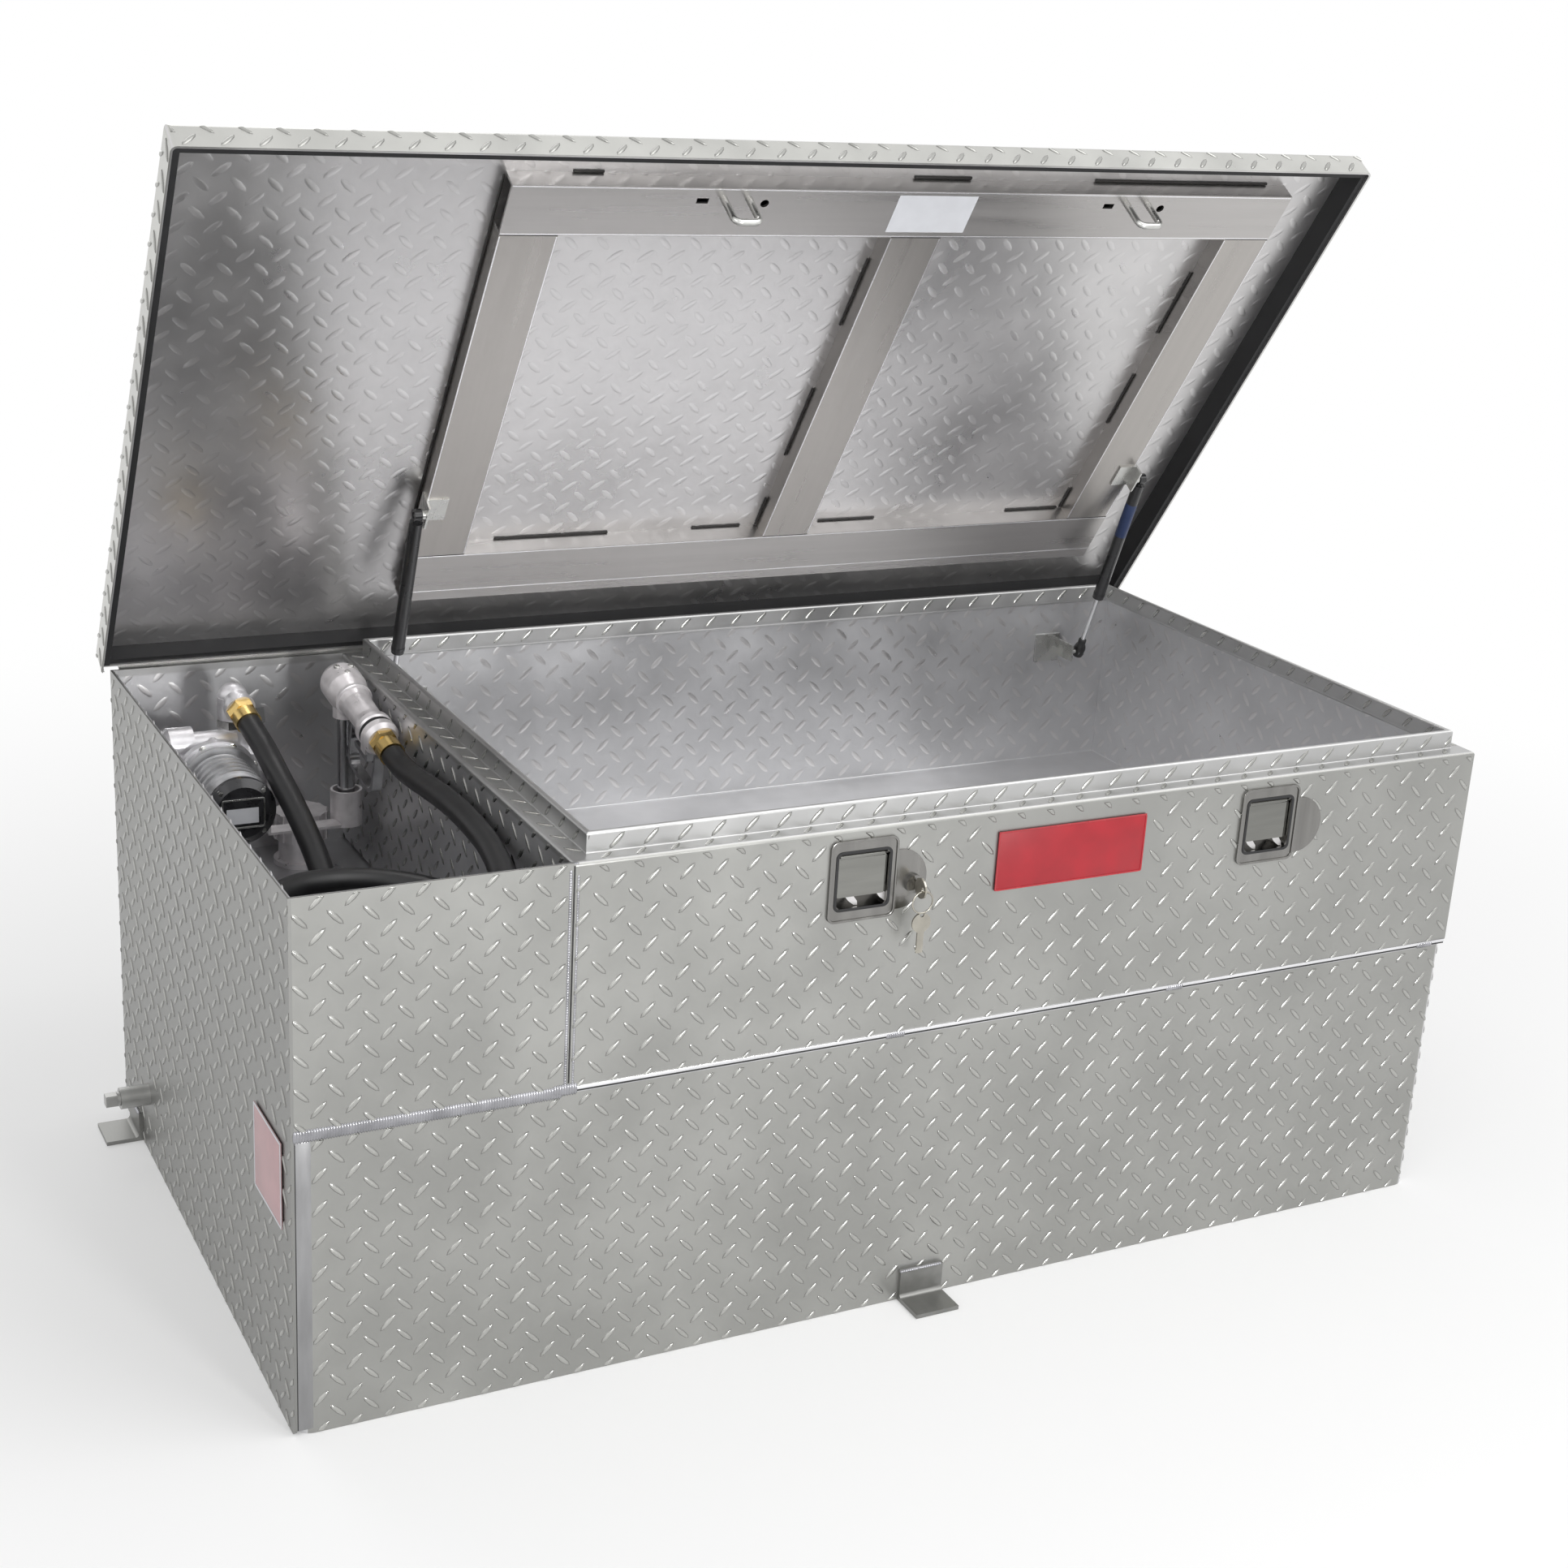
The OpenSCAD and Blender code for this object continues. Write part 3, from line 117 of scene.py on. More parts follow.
@dataclass(frozen=True)
class Finish:
    """One surface finish, made as a node material the first time that it is asked for.

    Attributes:
        name: The material's name.
        colour: Mean base colour, linear.
        metal: Metallic value.
        rough: Mean roughness.
        grain: The marks on it.
        spread: How far the colour strays to either side of its mean.
        stretch: How the marks are drawn out along each axis.
        coat: Clear coat weight.
    """

    name: str
    colour: Point
    metal: float
    rough: float
    grain: Grain
    spread: float = 0.07
    stretch: Point = (1.0, 1.0, 1.0)
    coat: float = 0.0

    def material(self) -> bpy.types.Material:
        """Finds or builds the node material.

        Returns:
            The material.
        """
        found = bpy.data.materials.get(self.name)
        if found is not None:
            return found
        material = bpy.data.materials.new(self.name)
        material.use_nodes = True
        tree = material.node_tree
        tree.nodes.clear()
        out = tree.nodes.new("ShaderNodeOutputMaterial")
        shader = tree.nodes.new("ShaderNodeBsdfPrincipled")
        tree.links.new(shader.outputs["BSDF"], out.inputs["Surface"])
        shader.inputs["Metallic"].default_value = self.metal
        shader.inputs["Coat Weight"].default_value = self.coat
        cloud = self._noise(tree, self._cloud_scale(), 5.0, self.stretch)
        colour = self._colours(tree, cloud)
        tree.links.new(colour, shader.inputs["Base Color"])
        spread = tree.nodes.new("ShaderNodeMapRange")
        spread.inputs["From Min"].default_value = 0.3
        spread.inputs["From Max"].default_value = 0.7
        spread.inputs["To Min"].default_value = max(0.03, self.rough - 0.06)
        spread.inputs["To Max"].default_value = min(1.0, self.rough + 0.06)
        tree.links.new(cloud, spread.inputs["Value"])
        tree.links.new(spread.outputs["Result"], shader.inputs["Roughness"])
        self._relief(tree, shader)
        return material

    def _cloud_scale(self) -> float:
        """Picks the size of the soft patches for the grain."""
        return {Grain.MILL: 9.0, Grain.BRUSHED: 60.0, Grain.CAST: 55.0}.get(self.grain, 35.0)

    @staticmethod
    def _noise(
        tree: bpy.types.NodeTree, scale: float, detail: float, stretch: Point
    ) -> bpy.types.NodeSocket:
        """Adds a noise pattern on the piece's own coordinates.

        Args:
            tree: The material's node tree.
            scale: Patches to the metre.
            detail: Octaves.
            stretch: Scale of each axis.

        Returns:
            The pattern's value socket.
        """
        coords = tree.nodes.new("ShaderNodeTexCoord")
        mapping = tree.nodes.new("ShaderNodeMapping")
        mapping.inputs["Scale"].default_value = stretch
        noise = tree.nodes.new("ShaderNodeTexNoise")
        noise.inputs["Scale"].default_value = scale
        noise.inputs["Detail"].default_value = detail
        tree.links.new(coords.outputs["Object"], mapping.inputs["Vector"])
        tree.links.new(mapping.outputs["Vector"], noise.inputs["Vector"])
        return noise.outputs[0]

    def _colours(
        self, tree: bpy.types.NodeTree, cloud: bpy.types.NodeSocket
    ) -> bpy.types.NodeSocket:
        """Spreads the colour to a darker and a lighter side of its mean.

        Args:
            tree: The material's node tree.
            cloud: The pattern that chooses between them.

        Returns:
            The colour socket.
        """
        ramp = tree.nodes.new("ShaderNodeValToRGB")
        ramp.color_ramp.elements[0].position = 0.32
        ramp.color_ramp.elements[1].position = 0.68
        for element, side in zip(ramp.color_ramp.elements, (1 - self.spread, 1 + self.spread)):
            element.color = (*(min(1.0, c * side) for c in self.colour), 1.0)
        tree.links.new(cloud, ramp.inputs["Fac"])
        return ramp.outputs["Color"]

    def _relief(self, tree: bpy.types.NodeTree, shader: bpy.types.Node) -> None:
        """Adds the fine relief of the grain to the shader's normal.

        Args:
            tree: The material's node tree.
            shader: The shader that takes the normal.
        """
        fine, height, strength = {
            Grain.MILL: (420.0, 0.00004, 0.25),
            Grain.BRUSHED: (700.0, 0.00003, 0.25),
            Grain.CAST: (1100.0, 0.0002, 0.45),
            Grain.PLATED: (300.0, 0.00003, 0.2),
            Grain.MOULDED: (900.0, 0.00012, 0.35),
            Grain.SMOOTH: (250.0, 0.00002, 0.15),
        }[self.grain]
        value = self._noise(tree, fine, 2.0, self.stretch)
        bump = tree.nodes.new("ShaderNodeBump")
        bump.inputs["Strength"].default_value = strength
        bump.inputs["Distance"].default_value = height
        tree.links.new(value, bump.inputs["Height"])
        tree.links.new(bump.outputs["Normal"], shader.inputs["Normal"])


@dataclass(frozen=True)
class CrestFinish(Finish):
    """The finish of the raised bars: worn bright crests over darker feet, the feet darkened by dirt together with
    painted shade where each bar meets the sheet.

    Attributes:
        foot: Share of the crest's colour that is left at the foot, which stands for dirt together with painted shade.
    """

    foot: float = 0.62

    def _colours(
        self, tree: bpy.types.NodeTree, cloud: bpy.types.NodeSocket
    ) -> bpy.types.NodeSocket:
        """Runs the colour up each bar by its height attribute.

        Args:
            tree: The material's node tree.
            cloud: The pattern of the plain finish.

        Returns:
            The colour socket.
        """
        plain = super()._colours(tree, cloud)
        # painted shade with dirt: each bar is darkened from its crest down to its foot by its height attribute
        height = tree.nodes.new("ShaderNodeAttribute")
        height.attribute_name = "crest"
        ramp = tree.nodes.new("ShaderNodeValToRGB")
        ramp.color_ramp.elements[0].position = 0.05
        ramp.color_ramp.elements[0].color = (self.foot, self.foot, self.foot, 1.0)
        ramp.color_ramp.elements[1].position = 0.85
        ramp.color_ramp.elements[1].color = (1.0, 1.0, 1.0, 1.0)
        mix = tree.nodes.new("ShaderNodeMix")
        mix.data_type = "RGBA"
        mix.blend_type = "MULTIPLY"
        mix.inputs["Factor"].default_value = 1.0
        tree.links.new(height.outputs["Fac"], ramp.inputs["Fac"])
        tree.links.new(plain, mix.inputs[6])
        tree.links.new(ramp.outputs["Color"], mix.inputs[7])
        return mix.outputs[2]


@dataclass(frozen=True)
class SheetFinish(Finish):
    """Sheet whose inner faces are painted lighter than its outer faces: painted light, a lit copy of the sheet's own
    colour.

    Attributes:
        inner_painted_light: Mean base colour of the inner faces, linear; painted light.
        low: Lowest corner of the room whose faces are painted lighter, in millimetres.
        high: Its highest corner.
        on_lid: Whether the sheet is swung open with the lid.
        rim: Height above which the inner faces keep a little under half of their painted light.
    """

    inner_painted_light: Point = (0.6, 0.6, 0.6)
    low: Point = (1.6, 1.6, 0.0)
    high: Point = (1420.4, 754.4, 620.0)
    on_lid: bool = False
    rim: float = 900.0

    def _colours(
        self, tree: bpy.types.NodeTree, cloud: bpy.types.NodeSocket
    ) -> bpy.types.NodeSocket:
        """Mixes the two sides' colours by place.

        Args:
            tree: The material's node tree.
            cloud: The pattern of the plain finish.

        Returns:
            The colour socket.
        """
        outer = super()._colours(tree, cloud)
        # painted light: the inner faces take a lighter copy of the sheet's colour
        ramp = tree.nodes.new("ShaderNodeValToRGB")
        ramp.color_ramp.elements[0].position = 0.3
        ramp.color_ramp.elements[1].position = 0.7
        for element, side in zip(ramp.color_ramp.elements, (1 - 1.6 * self.spread, 1 + 1.6 * self.spread)):
            element.color = (*(min(0.95, c * side) for c in self.inner_painted_light), 1.0)
        tree.links.new(cloud, ramp.inputs["Fac"])
        mix = tree.nodes.new("ShaderNodeMix")
        mix.data_type = "RGBA"
        tree.links.new(self._room(tree), mix.inputs["Factor"])
        tree.links.new(outer, mix.inputs[6])
        tree.links.new(ramp.outputs["Color"], mix.inputs[7])
        return mix.outputs[2]

    def _room(self, tree: bpy.types.NodeTree) -> bpy.types.NodeSocket:
        """Tells the points in the room whose faces are painted lighter from the others.

        Args:
            tree: The material's node tree.

        Returns:
            A socket that is 1 inside the room and 0 outside it.
        """
        coords = tree.nodes.new("ShaderNodeTexCoord")
        axes = tree.nodes.new("ShaderNodeSeparateXYZ")
        if self.on_lid:
            back = lid_swing().inverted()
            shut = tree.nodes.new("ShaderNodeMapping")
            shut.inputs["Location"].default_value = back.to_translation()
            shut.inputs["Rotation"].default_value = back.to_euler()
            tree.links.new(coords.outputs["Object"], shut.inputs["Vector"])
            tree.links.new(shut.outputs["Vector"], axes.inputs["Vector"])
        else:
            tree.links.new(coords.outputs["Object"], axes.inputs["Vector"])
        inside = None
        for corner, test in ((place(*self.low), "GREATER_THAN"), (place(*self.high), "LESS_THAN")):
            for axis in range(3):
                side = tree.nodes.new("ShaderNodeMath")
                side.operation = test
                side.inputs[1].default_value = corner[axis]
                tree.links.new(axes.outputs[axis], side.inputs[0])
                if inside is None:
                    inside = side.outputs[0]
                    continue
                both = tree.nodes.new("ShaderNodeMath")
                both.operation = "MULTIPLY"
                tree.links.new(inside, both.inputs[0])
                tree.links.new(side.outputs[0], both.inputs[1])
                inside = both.outputs[0]
        # above the rim height the inner faces keep a little under half of the painted light
        rim = tree.nodes.new("ShaderNodeMapRange")
        rim.inputs["From Min"].default_value = place(0, 0, self.rim).z
        rim.inputs["From Max"].default_value = place(0, 0, self.rim + 3).z
        rim.inputs["To Min"].default_value = 1.0
        rim.inputs["To Max"].default_value = 0.45
        tree.links.new(axes.outputs[2], rim.inputs["Value"])
        share = tree.nodes.new("ShaderNodeMath")
        share.operation = "MULTIPLY"
        tree.links.new(inside, share.inputs[0])
        tree.links.new(rim.outputs["Result"], share.inputs[1])
        return share.outputs[0]


class Finishes:
    """Every finish on the tank."""

    # painted light: on their inner faces these sheets take a lighter copy of their colour
    PLATE = SheetFinish(
        "tread plate", (0.36, 0.36, 0.345), 0.9, 0.36, Grain.MILL, 0.07, inner_painted_light=(0.66, 0.66, 0.67),
        rim=562.0,
    )
    # painted shade: the end plate is a darker copy of the tread plate, inside and out, for the darker surroundings
    # that its face reflects
    END_PLATE_IN_PAINTED_SHADE = SheetFinish(
        "end plate", (0.29, 0.29, 0.28), 0.9, 0.38, Grain.MILL, 0.1, (1.0, 1.0, 0.25),
        inner_painted_light=(0.56, 0.56, 0.57),
    )
    CREST = CrestFinish("tread bars", (0.44, 0.44, 0.42), 0.9, 0.25, Grain.PLATED, 0.06, foot=0.42)
    LID = SheetFinish(
        "lid sheet", (0.58, 0.58, 0.555), 0.95, 0.32, Grain.MILL, 0.09, (1.0, 0.6, 1.0),
        inner_painted_light=(0.66, 0.65, 0.65), low=(-9.7, -10.7, 500.0), high=(1431.7, 800.0, 598.2), on_lid=True,
    )
    # painted light: as light as the inner faces that it sits on, with painted shade at each bar's foot
    IMPRINT = CrestFinish(
        "tread imprint", (0.7, 0.69, 0.69), 0.95, 0.33, Grain.PLATED, 0.05, foot=0.93
    )
    CHANNEL = Finish("frame channel", (0.5, 0.485, 0.475), 0.95, 0.3, Grain.BRUSHED, 0.05, (0.06, 1, 1))
    STILE = Finish("frame stile", (0.45, 0.43, 0.41), 0.95, 0.3, Grain.BRUSHED, 0.05, (1, 0.06, 0.06))
    TOP_PLATE = Finish("tank top", (0.5, 0.5, 0.51), 0.9, 0.33, Grain.MILL, 0.16)
    TAB = Finish("mounting tab", (0.25, 0.25, 0.24), 0.9, 0.38, Grain.BRUSHED, 0.1, (1, 0.2, 1))
    WELD = Finish("weld bead", (0.36, 0.36, 0.38), 0.95, 0.28, Grain.PLATED, 0.25)
    DRESSED = Finish("dressed weld", (0.32, 0.32, 0.325), 0.9, 0.36, Grain.BRUSHED, 0.12, (1, 1, 0.2))
    # painted highlight: light strips along the fold under the toolbox and along the frame's edges
    PAINTED_HIGHLIGHT = Finish("painted edge highlight", (0.82, 0.82, 0.84), 0.95, 0.24, Grain.BRUSHED, 0.1, (0.1, 1, 1))
    ZINC = Finish("zinc plate", (0.6, 0.6, 0.58), 0.95, 0.28, Grain.PLATED, 0.12)
    STAINLESS = Finish("brushed stainless", (0.25, 0.245, 0.235), 1.0, 0.22, Grain.BRUSHED, 0.12, (1, 1, 0.1))
    PADDLE = Finish("paddle steel", (0.24, 0.24, 0.225), 1.0, 0.16, Grain.BRUSHED, 0.12, (0.1, 1, 1))
    FITTING = Finish("zinc fitting", (0.4, 0.4, 0.39), 0.9, 0.33, Grain.PLATED, 0.14)
    KEY = Finish("key blank", (0.42, 0.4, 0.35), 1.0, 0.22, Grain.PLATED, 0.15)
    CAST = Finish("cast pump", (0.74, 0.73, 0.75), 0.6, 0.36, Grain.CAST, 0.16)
    MOTOR = Finish("motor case", (0.6, 0.6, 0.61), 0.8, 0.35, Grain.CAST, 0.14)
    COVER = Finish("motor cover", (0.03, 0.03, 0.033), 0.2, 0.3, Grain.CAST, 0.3, coat=0.2)
    NOZZLE = Finish("nozzle casting", (0.8, 0.77, 0.78), 0.5, 0.33, Grain.CAST, 0.12)
    SPOUT = Finish("spout tube", (0.6, 0.6, 0.61), 1.0, 0.2, Grain.BRUSHED, 0.1, (1, 1, 0.1))
    BRASS = Finish("brass fitting", (0.72, 0.52, 0.2), 1.0, 0.26, Grain.PLATED, 0.14)
    HOSE = Finish("hose rubber", (0.012, 0.012, 0.013), 0.0, 0.42, Grain.MOULDED, 0.25)
    SEAL = Finish("seal rubber", (0.01, 0.01, 0.011), 0.0, 0.6, Grain.MOULDED, 0.3)
    BLACK_PAINT = Finish("black paint", (0.012, 0.012, 0.013), 0.0, 0.3, Grain.SMOOTH, 0.2, coat=0.3)
    CHROME = Finish("rod chrome", (0.62, 0.62, 0.63), 1.0, 0.12, Grain.PLATED, 0.05)
    PLASTIC = Finish("black plastic", (0.02, 0.02, 0.02), 0.0, 0.45, Grain.MOULDED, 0.2)
    RED = Finish("red plate", (0.32, 0.006, 0.014), 0.0, 0.45, Grain.SMOOTH, 0.1, coat=0.1)
    RIM = Finish("plate rim", (0.36, 0.012, 0.02), 0.0, 0.25, Grain.SMOOTH, 0.06, coat=0.5)
    PINK = Finish("placard", (0.5, 0.33, 0.34), 0.0, 0.45, Grain.SMOOTH, 0.08)
    WHITE = Finish("paper label", (0.62, 0.63, 0.66), 0.0, 0.5, Grain.SMOOTH, 0.04)
    BLUE = Finish("blue label", (0.015, 0.03, 0.09), 0.0, 0.45, Grain.SMOOTH, 0.1)
    DARK = Finish("dark gap", (0.03, 0.03, 0.03), 0.3, 0.6, Grain.SMOOTH, 0.3)
    # black sealant, and painted shade on the left stile's outer wall
    SEALANT_AND_PAINTED_SHADE = Finish("black sealant and painted shade", (0.02, 0.019, 0.018), 0.0, 0.5, Grain.MOULDED, 0.3)


class Bench:
    """The modelling steps that the sub-assemblies share."""

    @staticmethod
    def clear() -> None:
        """Leaves edit mode and selects nothing."""
        if bpy.context.mode != "OBJECT":
            bpy.ops.object.mode_set(mode="OBJECT")
        bpy.ops.object.select_all(action="DESELECT")

    @staticmethod
    def pick(obj: bpy.types.Object) -> None:
        """Selects one object alone and makes it active."""
        Bench.clear()
        obj.select_set(True)
        bpy.context.view_layer.objects.active = obj

    @staticmethod
    def edit(obj: bpy.types.Object) -> None:
        """Opens one object in edit mode with all of it selected."""
        Bench.pick(obj)
        bpy.ops.object.mode_set(mode="EDIT")
        bpy.ops.mesh.select_all(action="SELECT")

    @staticmethod
    def close(obj: bpy.types.Object) -> None:
        """Points the faces outwards and leaves edit mode."""
        bpy.ops.mesh.select_all(action="SELECT")
        bpy.ops.mesh.normals_make_consistent(inside=False)
        bpy.ops.object.mode_set(mode="OBJECT")

    @staticmethod
    def settle(obj: bpy.types.Object, where: Optional[Matrix] = None) -> bpy.types.Object:
        """Moves an object and puts its place into its mesh.

        Args:
            obj: The object.
            where: The move, in the shared frame.

        Returns:
            The same object, at the origin.
        """
        Bench.pick(obj)
        if where is not None:
            obj.matrix_world = where @ obj.matrix_world
        bpy.ops.object.transform_apply(location=True, rotation=True, scale=True)
        return obj

    @staticmethod
    def named(name: str) -> bpy.types.Object:
        """Names the object that was just added and its mesh."""
        obj = bpy.context.active_object
        obj.name = obj.data.name = name
        return obj

    @staticmethod
    def block(name: str, low: Point, high: Point, edge: float = 0.8, rounds: int = 2) -> bpy.types.Object:
        """Models a block with eased edges.

        Args:
            name: The piece's name.
            low: Lowest corner, in millimetres.
            high: Highest corner, in millimetres.
            edge: Width of the eased edges, in millimetres.
            rounds: Steps across an eased edge.

        Returns:
            The block.
        """
        Bench.clear()
        a, b = place(*low), place(*high)
        bpy.ops.mesh.primitive_cube_add(size=1.0, location=(a + b) / 2)
        obj = Bench.named(name)
        obj.scale = b - a
        Bench.settle(obj)
        Bench.edit(obj)
        bpy.ops.mesh.bevel(offset=edge * MM, segments=rounds, affect="EDGES")
        Bench.close(obj)
        return obj

    @staticmethod
    def turned(
        name: str,
        foot: Point,
        axis: Sequence[float],
        rings: Sequence[tuple[float, float]],
        sides: int = 32,
        spin: float = 0.0,
    ) -> bpy.types.Object:
        """Models a turned piece: a disc drawn out along its axis ring by ring.

        Args:
            name: The piece's name.
            foot: Where its axis starts, in millimetres.
            axis: The way that its axis runs.
            rings: Radius and height of each ring, in millimetres.
            sides: Corners of each ring.
            spin: Turn about its own axis, in degrees.

        Returns:
            The piece.
        """
        Bench.clear()
        radius, height = rings[0]
        bpy.ops.mesh.primitive_circle_add(
            vertices=sides, radius=radius * MM, fill_type="NGON", location=(0.0, 0.0, height * MM)
        )
        obj = Bench.named(name)
        Bench.settle(obj)
        Bench.edit(obj)
        for wide, tall in rings[1:]:
            bpy.ops.mesh.extrude_region_move(
                TRANSFORM_OT_translate={"value": (0.0, 0.0, (tall - height) * MM)}
            )
            share = wide / radius
            bpy.ops.transform.resize(
                value=(share, share, 1.0), center_override=(0.0, 0.0, tall * MM)
            )
            radius, height = wide, tall
        Bench.close(obj)
        turn = Vector((0.0, 0.0, 1.0)).rotation_difference(Vector(axis).normalized())
        where = Matrix.Translation(place(*foot)) @ turn.to_matrix().to_4x4()
        return Bench.settle(obj, where @ Matrix.Rotation(math.radians(spin), 4, "Z"))

    @staticmethod
    def cut_plate(
        name: str,
        outline: Sequence[tuple[float, float]],
        thick: float,
        where: Matrix,
        edge: float = 0.0,
    ) -> bpy.types.Object:
        """Models a flat plate: its outline is drawn point by point, filled and drawn out.

        Args:
            name: The piece's name.
            outline: Corners in the plate's own plane, in millimetres.
            thick: Thickness along the plate's own Z, in millimetres.
            where: The plate's frame.
            edge: Width of the eased edges, in millimetres.

        Returns:
            The plate.
        """
        Bench.clear()
        bpy.ops.mesh.primitive_plane_add(size=MM, location=(0.0, 0.0, 0.0))
        obj = Bench.named(name)
        Bench.edit(obj)
        bpy.ops.mesh.merge(type="CENTER")
        last = Vector((0.0, 0.0))
        first = Vector(outline[0])
        bpy.ops.transform.translate(value=(first.x * MM, first.y * MM, 0.0))
        last = first
        for corner in outline[1:]:
            step = (Vector(corner) - last) * MM
            bpy.ops.mesh.extrude_vertices_move(TRANSFORM_OT_translate={"value": (step.x, step.y, 0.0)})
            last = Vector(corner)
        bpy.ops.mesh.select_all(action="SELECT")
        bpy.ops.mesh.edge_face_add()
        bpy.ops.mesh.extrude_region_move(TRANSFORM_OT_translate={"value": (0.0, 0.0, thick * MM)})
        Bench.close(obj)
        if edge > 0:
            Bench.ease(obj, edge)
        return Bench.settle(obj, where)

    @staticmethod
    def ring(
        name: str,
        size: tuple[float, float],
        corner: float,
        band: float,
        thick: float,
        where: Matrix,
        ease: float = 0.0,
    ) -> bpy.types.Object:
        """Models a flat ring with rounded corners: a plate is inset, opened and drawn out.

        Args:
            name: The piece's name.
            size: Outer width and height, in millimetres.
            corner: Radius of the outer corners, in millimetres.
            band: Width of the ring, in millimetres.
            thick: Thickness along the ring's own Z, in millimetres.
            where: The ring's frame, at its middle.
            ease: Width of the eased edges, in millimetres.

        Returns:
            The ring.
        """
        Bench.clear()
        bpy.ops.mesh.primitive_plane_add(size=MM, location=(0.0, 0.0, 0.0))
        obj = Bench.named(name)
        Bench.edit(obj)
        bpy.ops.transform.resize(value=(size[0], size[1], 1.0), center_override=(0.0, 0.0, 0.0))
        bpy.ops.mesh.bevel(offset=corner * MM, segments=6, affect="VERTICES")
        bpy.ops.mesh.select_mode(type="FACE")
        bpy.ops.mesh.select_all(action="SELECT")
        bpy.ops.mesh.inset(thickness=band * MM, depth=0.0)
        bpy.ops.mesh.delete(type="FACE")
        bpy.ops.mesh.select_all(action="SELECT")
        bpy.ops.mesh.extrude_region_move(TRANSFORM_OT_translate={"value": (0.0, 0.0, thick * MM)})
        bpy.ops.mesh.select_mode(type="VERT")
        Bench.close(obj)
        if ease > 0:
            Bench.ease(obj, ease)
        return Bench.settle(obj, where)

    @staticmethod
    def ease(obj: bpy.types.Object, width: float) -> None:
        """Eases a piece's sharp edges with a bevel that is then applied.

        Args:
            obj: The piece.
            width: Width of the eased edges, in millimetres.
        """
        eased = obj.modifiers.new("eased edges", "BEVEL")
        eased.width = width * MM
        eased.segments = 2
        eased.limit_method = "ANGLE"
        eased.angle_limit = math.radians(40)
        Bench.pick(obj)
        bpy.ops.object.modifier_apply(modifier=eased.name)

    @staticmethod
    def copies(obj: bpy.types.Object, moves: Sequence[Matrix]) -> bpy.types.Object:
        """Copies a piece to several places and joins the copies, each with its own mesh.

        Args:
            obj: The pattern piece, which becomes the first copy.
            moves: One move for each copy, in the shared frame.

        Returns:
            The joined piece.
        """
        made = []
        for move in moves[1:]:
            twin = obj.copy()
            twin.data = obj.data.copy()
            bpy.context.collection.objects.link(twin)
            made.append(Bench.settle(twin, move))
        Bench.settle(obj, moves[0])
        return Bench.join(obj.name, [obj, *made])

    @staticmethod
    def join(name: str, pieces: Sequence[bpy.types.Object]) -> bpy.types.Object:
        """Joins pieces into the first of them.

        Args:
            name: The joined piece's name.
            pieces: What is joined.

        Returns:
            The joined piece.
        """
        Bench.clear()
        for piece in pieces:
            piece.select_set(True)
        bpy.context.view_layer.objects.active = pieces[0]
        if len(pieces) > 1:
            bpy.ops.object.join()
        obj = bpy.context.active_object
        obj.name = obj.data.name = name
        return obj

    @staticmethod
    def finish(
        obj: bpy.types.Object, finish: Finish, body: str, slot: str = "", smooth: float = 35.0
    ) -> bpy.types.Object:
        """Dresses a finished piece and ties it to the body that it moves with.

        Args:
            obj: The piece.
            finish: Its finish.
            body: The CAD body that carries it.
            slot: The record's material slot, or nothing for a label; not used.
            smooth: Angle under which two faces shade as one, in degrees.

        Returns:
            The piece.
        """
        obj.data.materials.clear()
        obj.data.materials.append(finish.material())
        Bench.pick(obj)
        bpy.ops.object.shade_smooth_by_angle(angle=math.radians(smooth))
        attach(obj, body)
        LOG.info("%s: %d faces, on %s", obj.name, len(obj.data.polygons), body)
        return obj


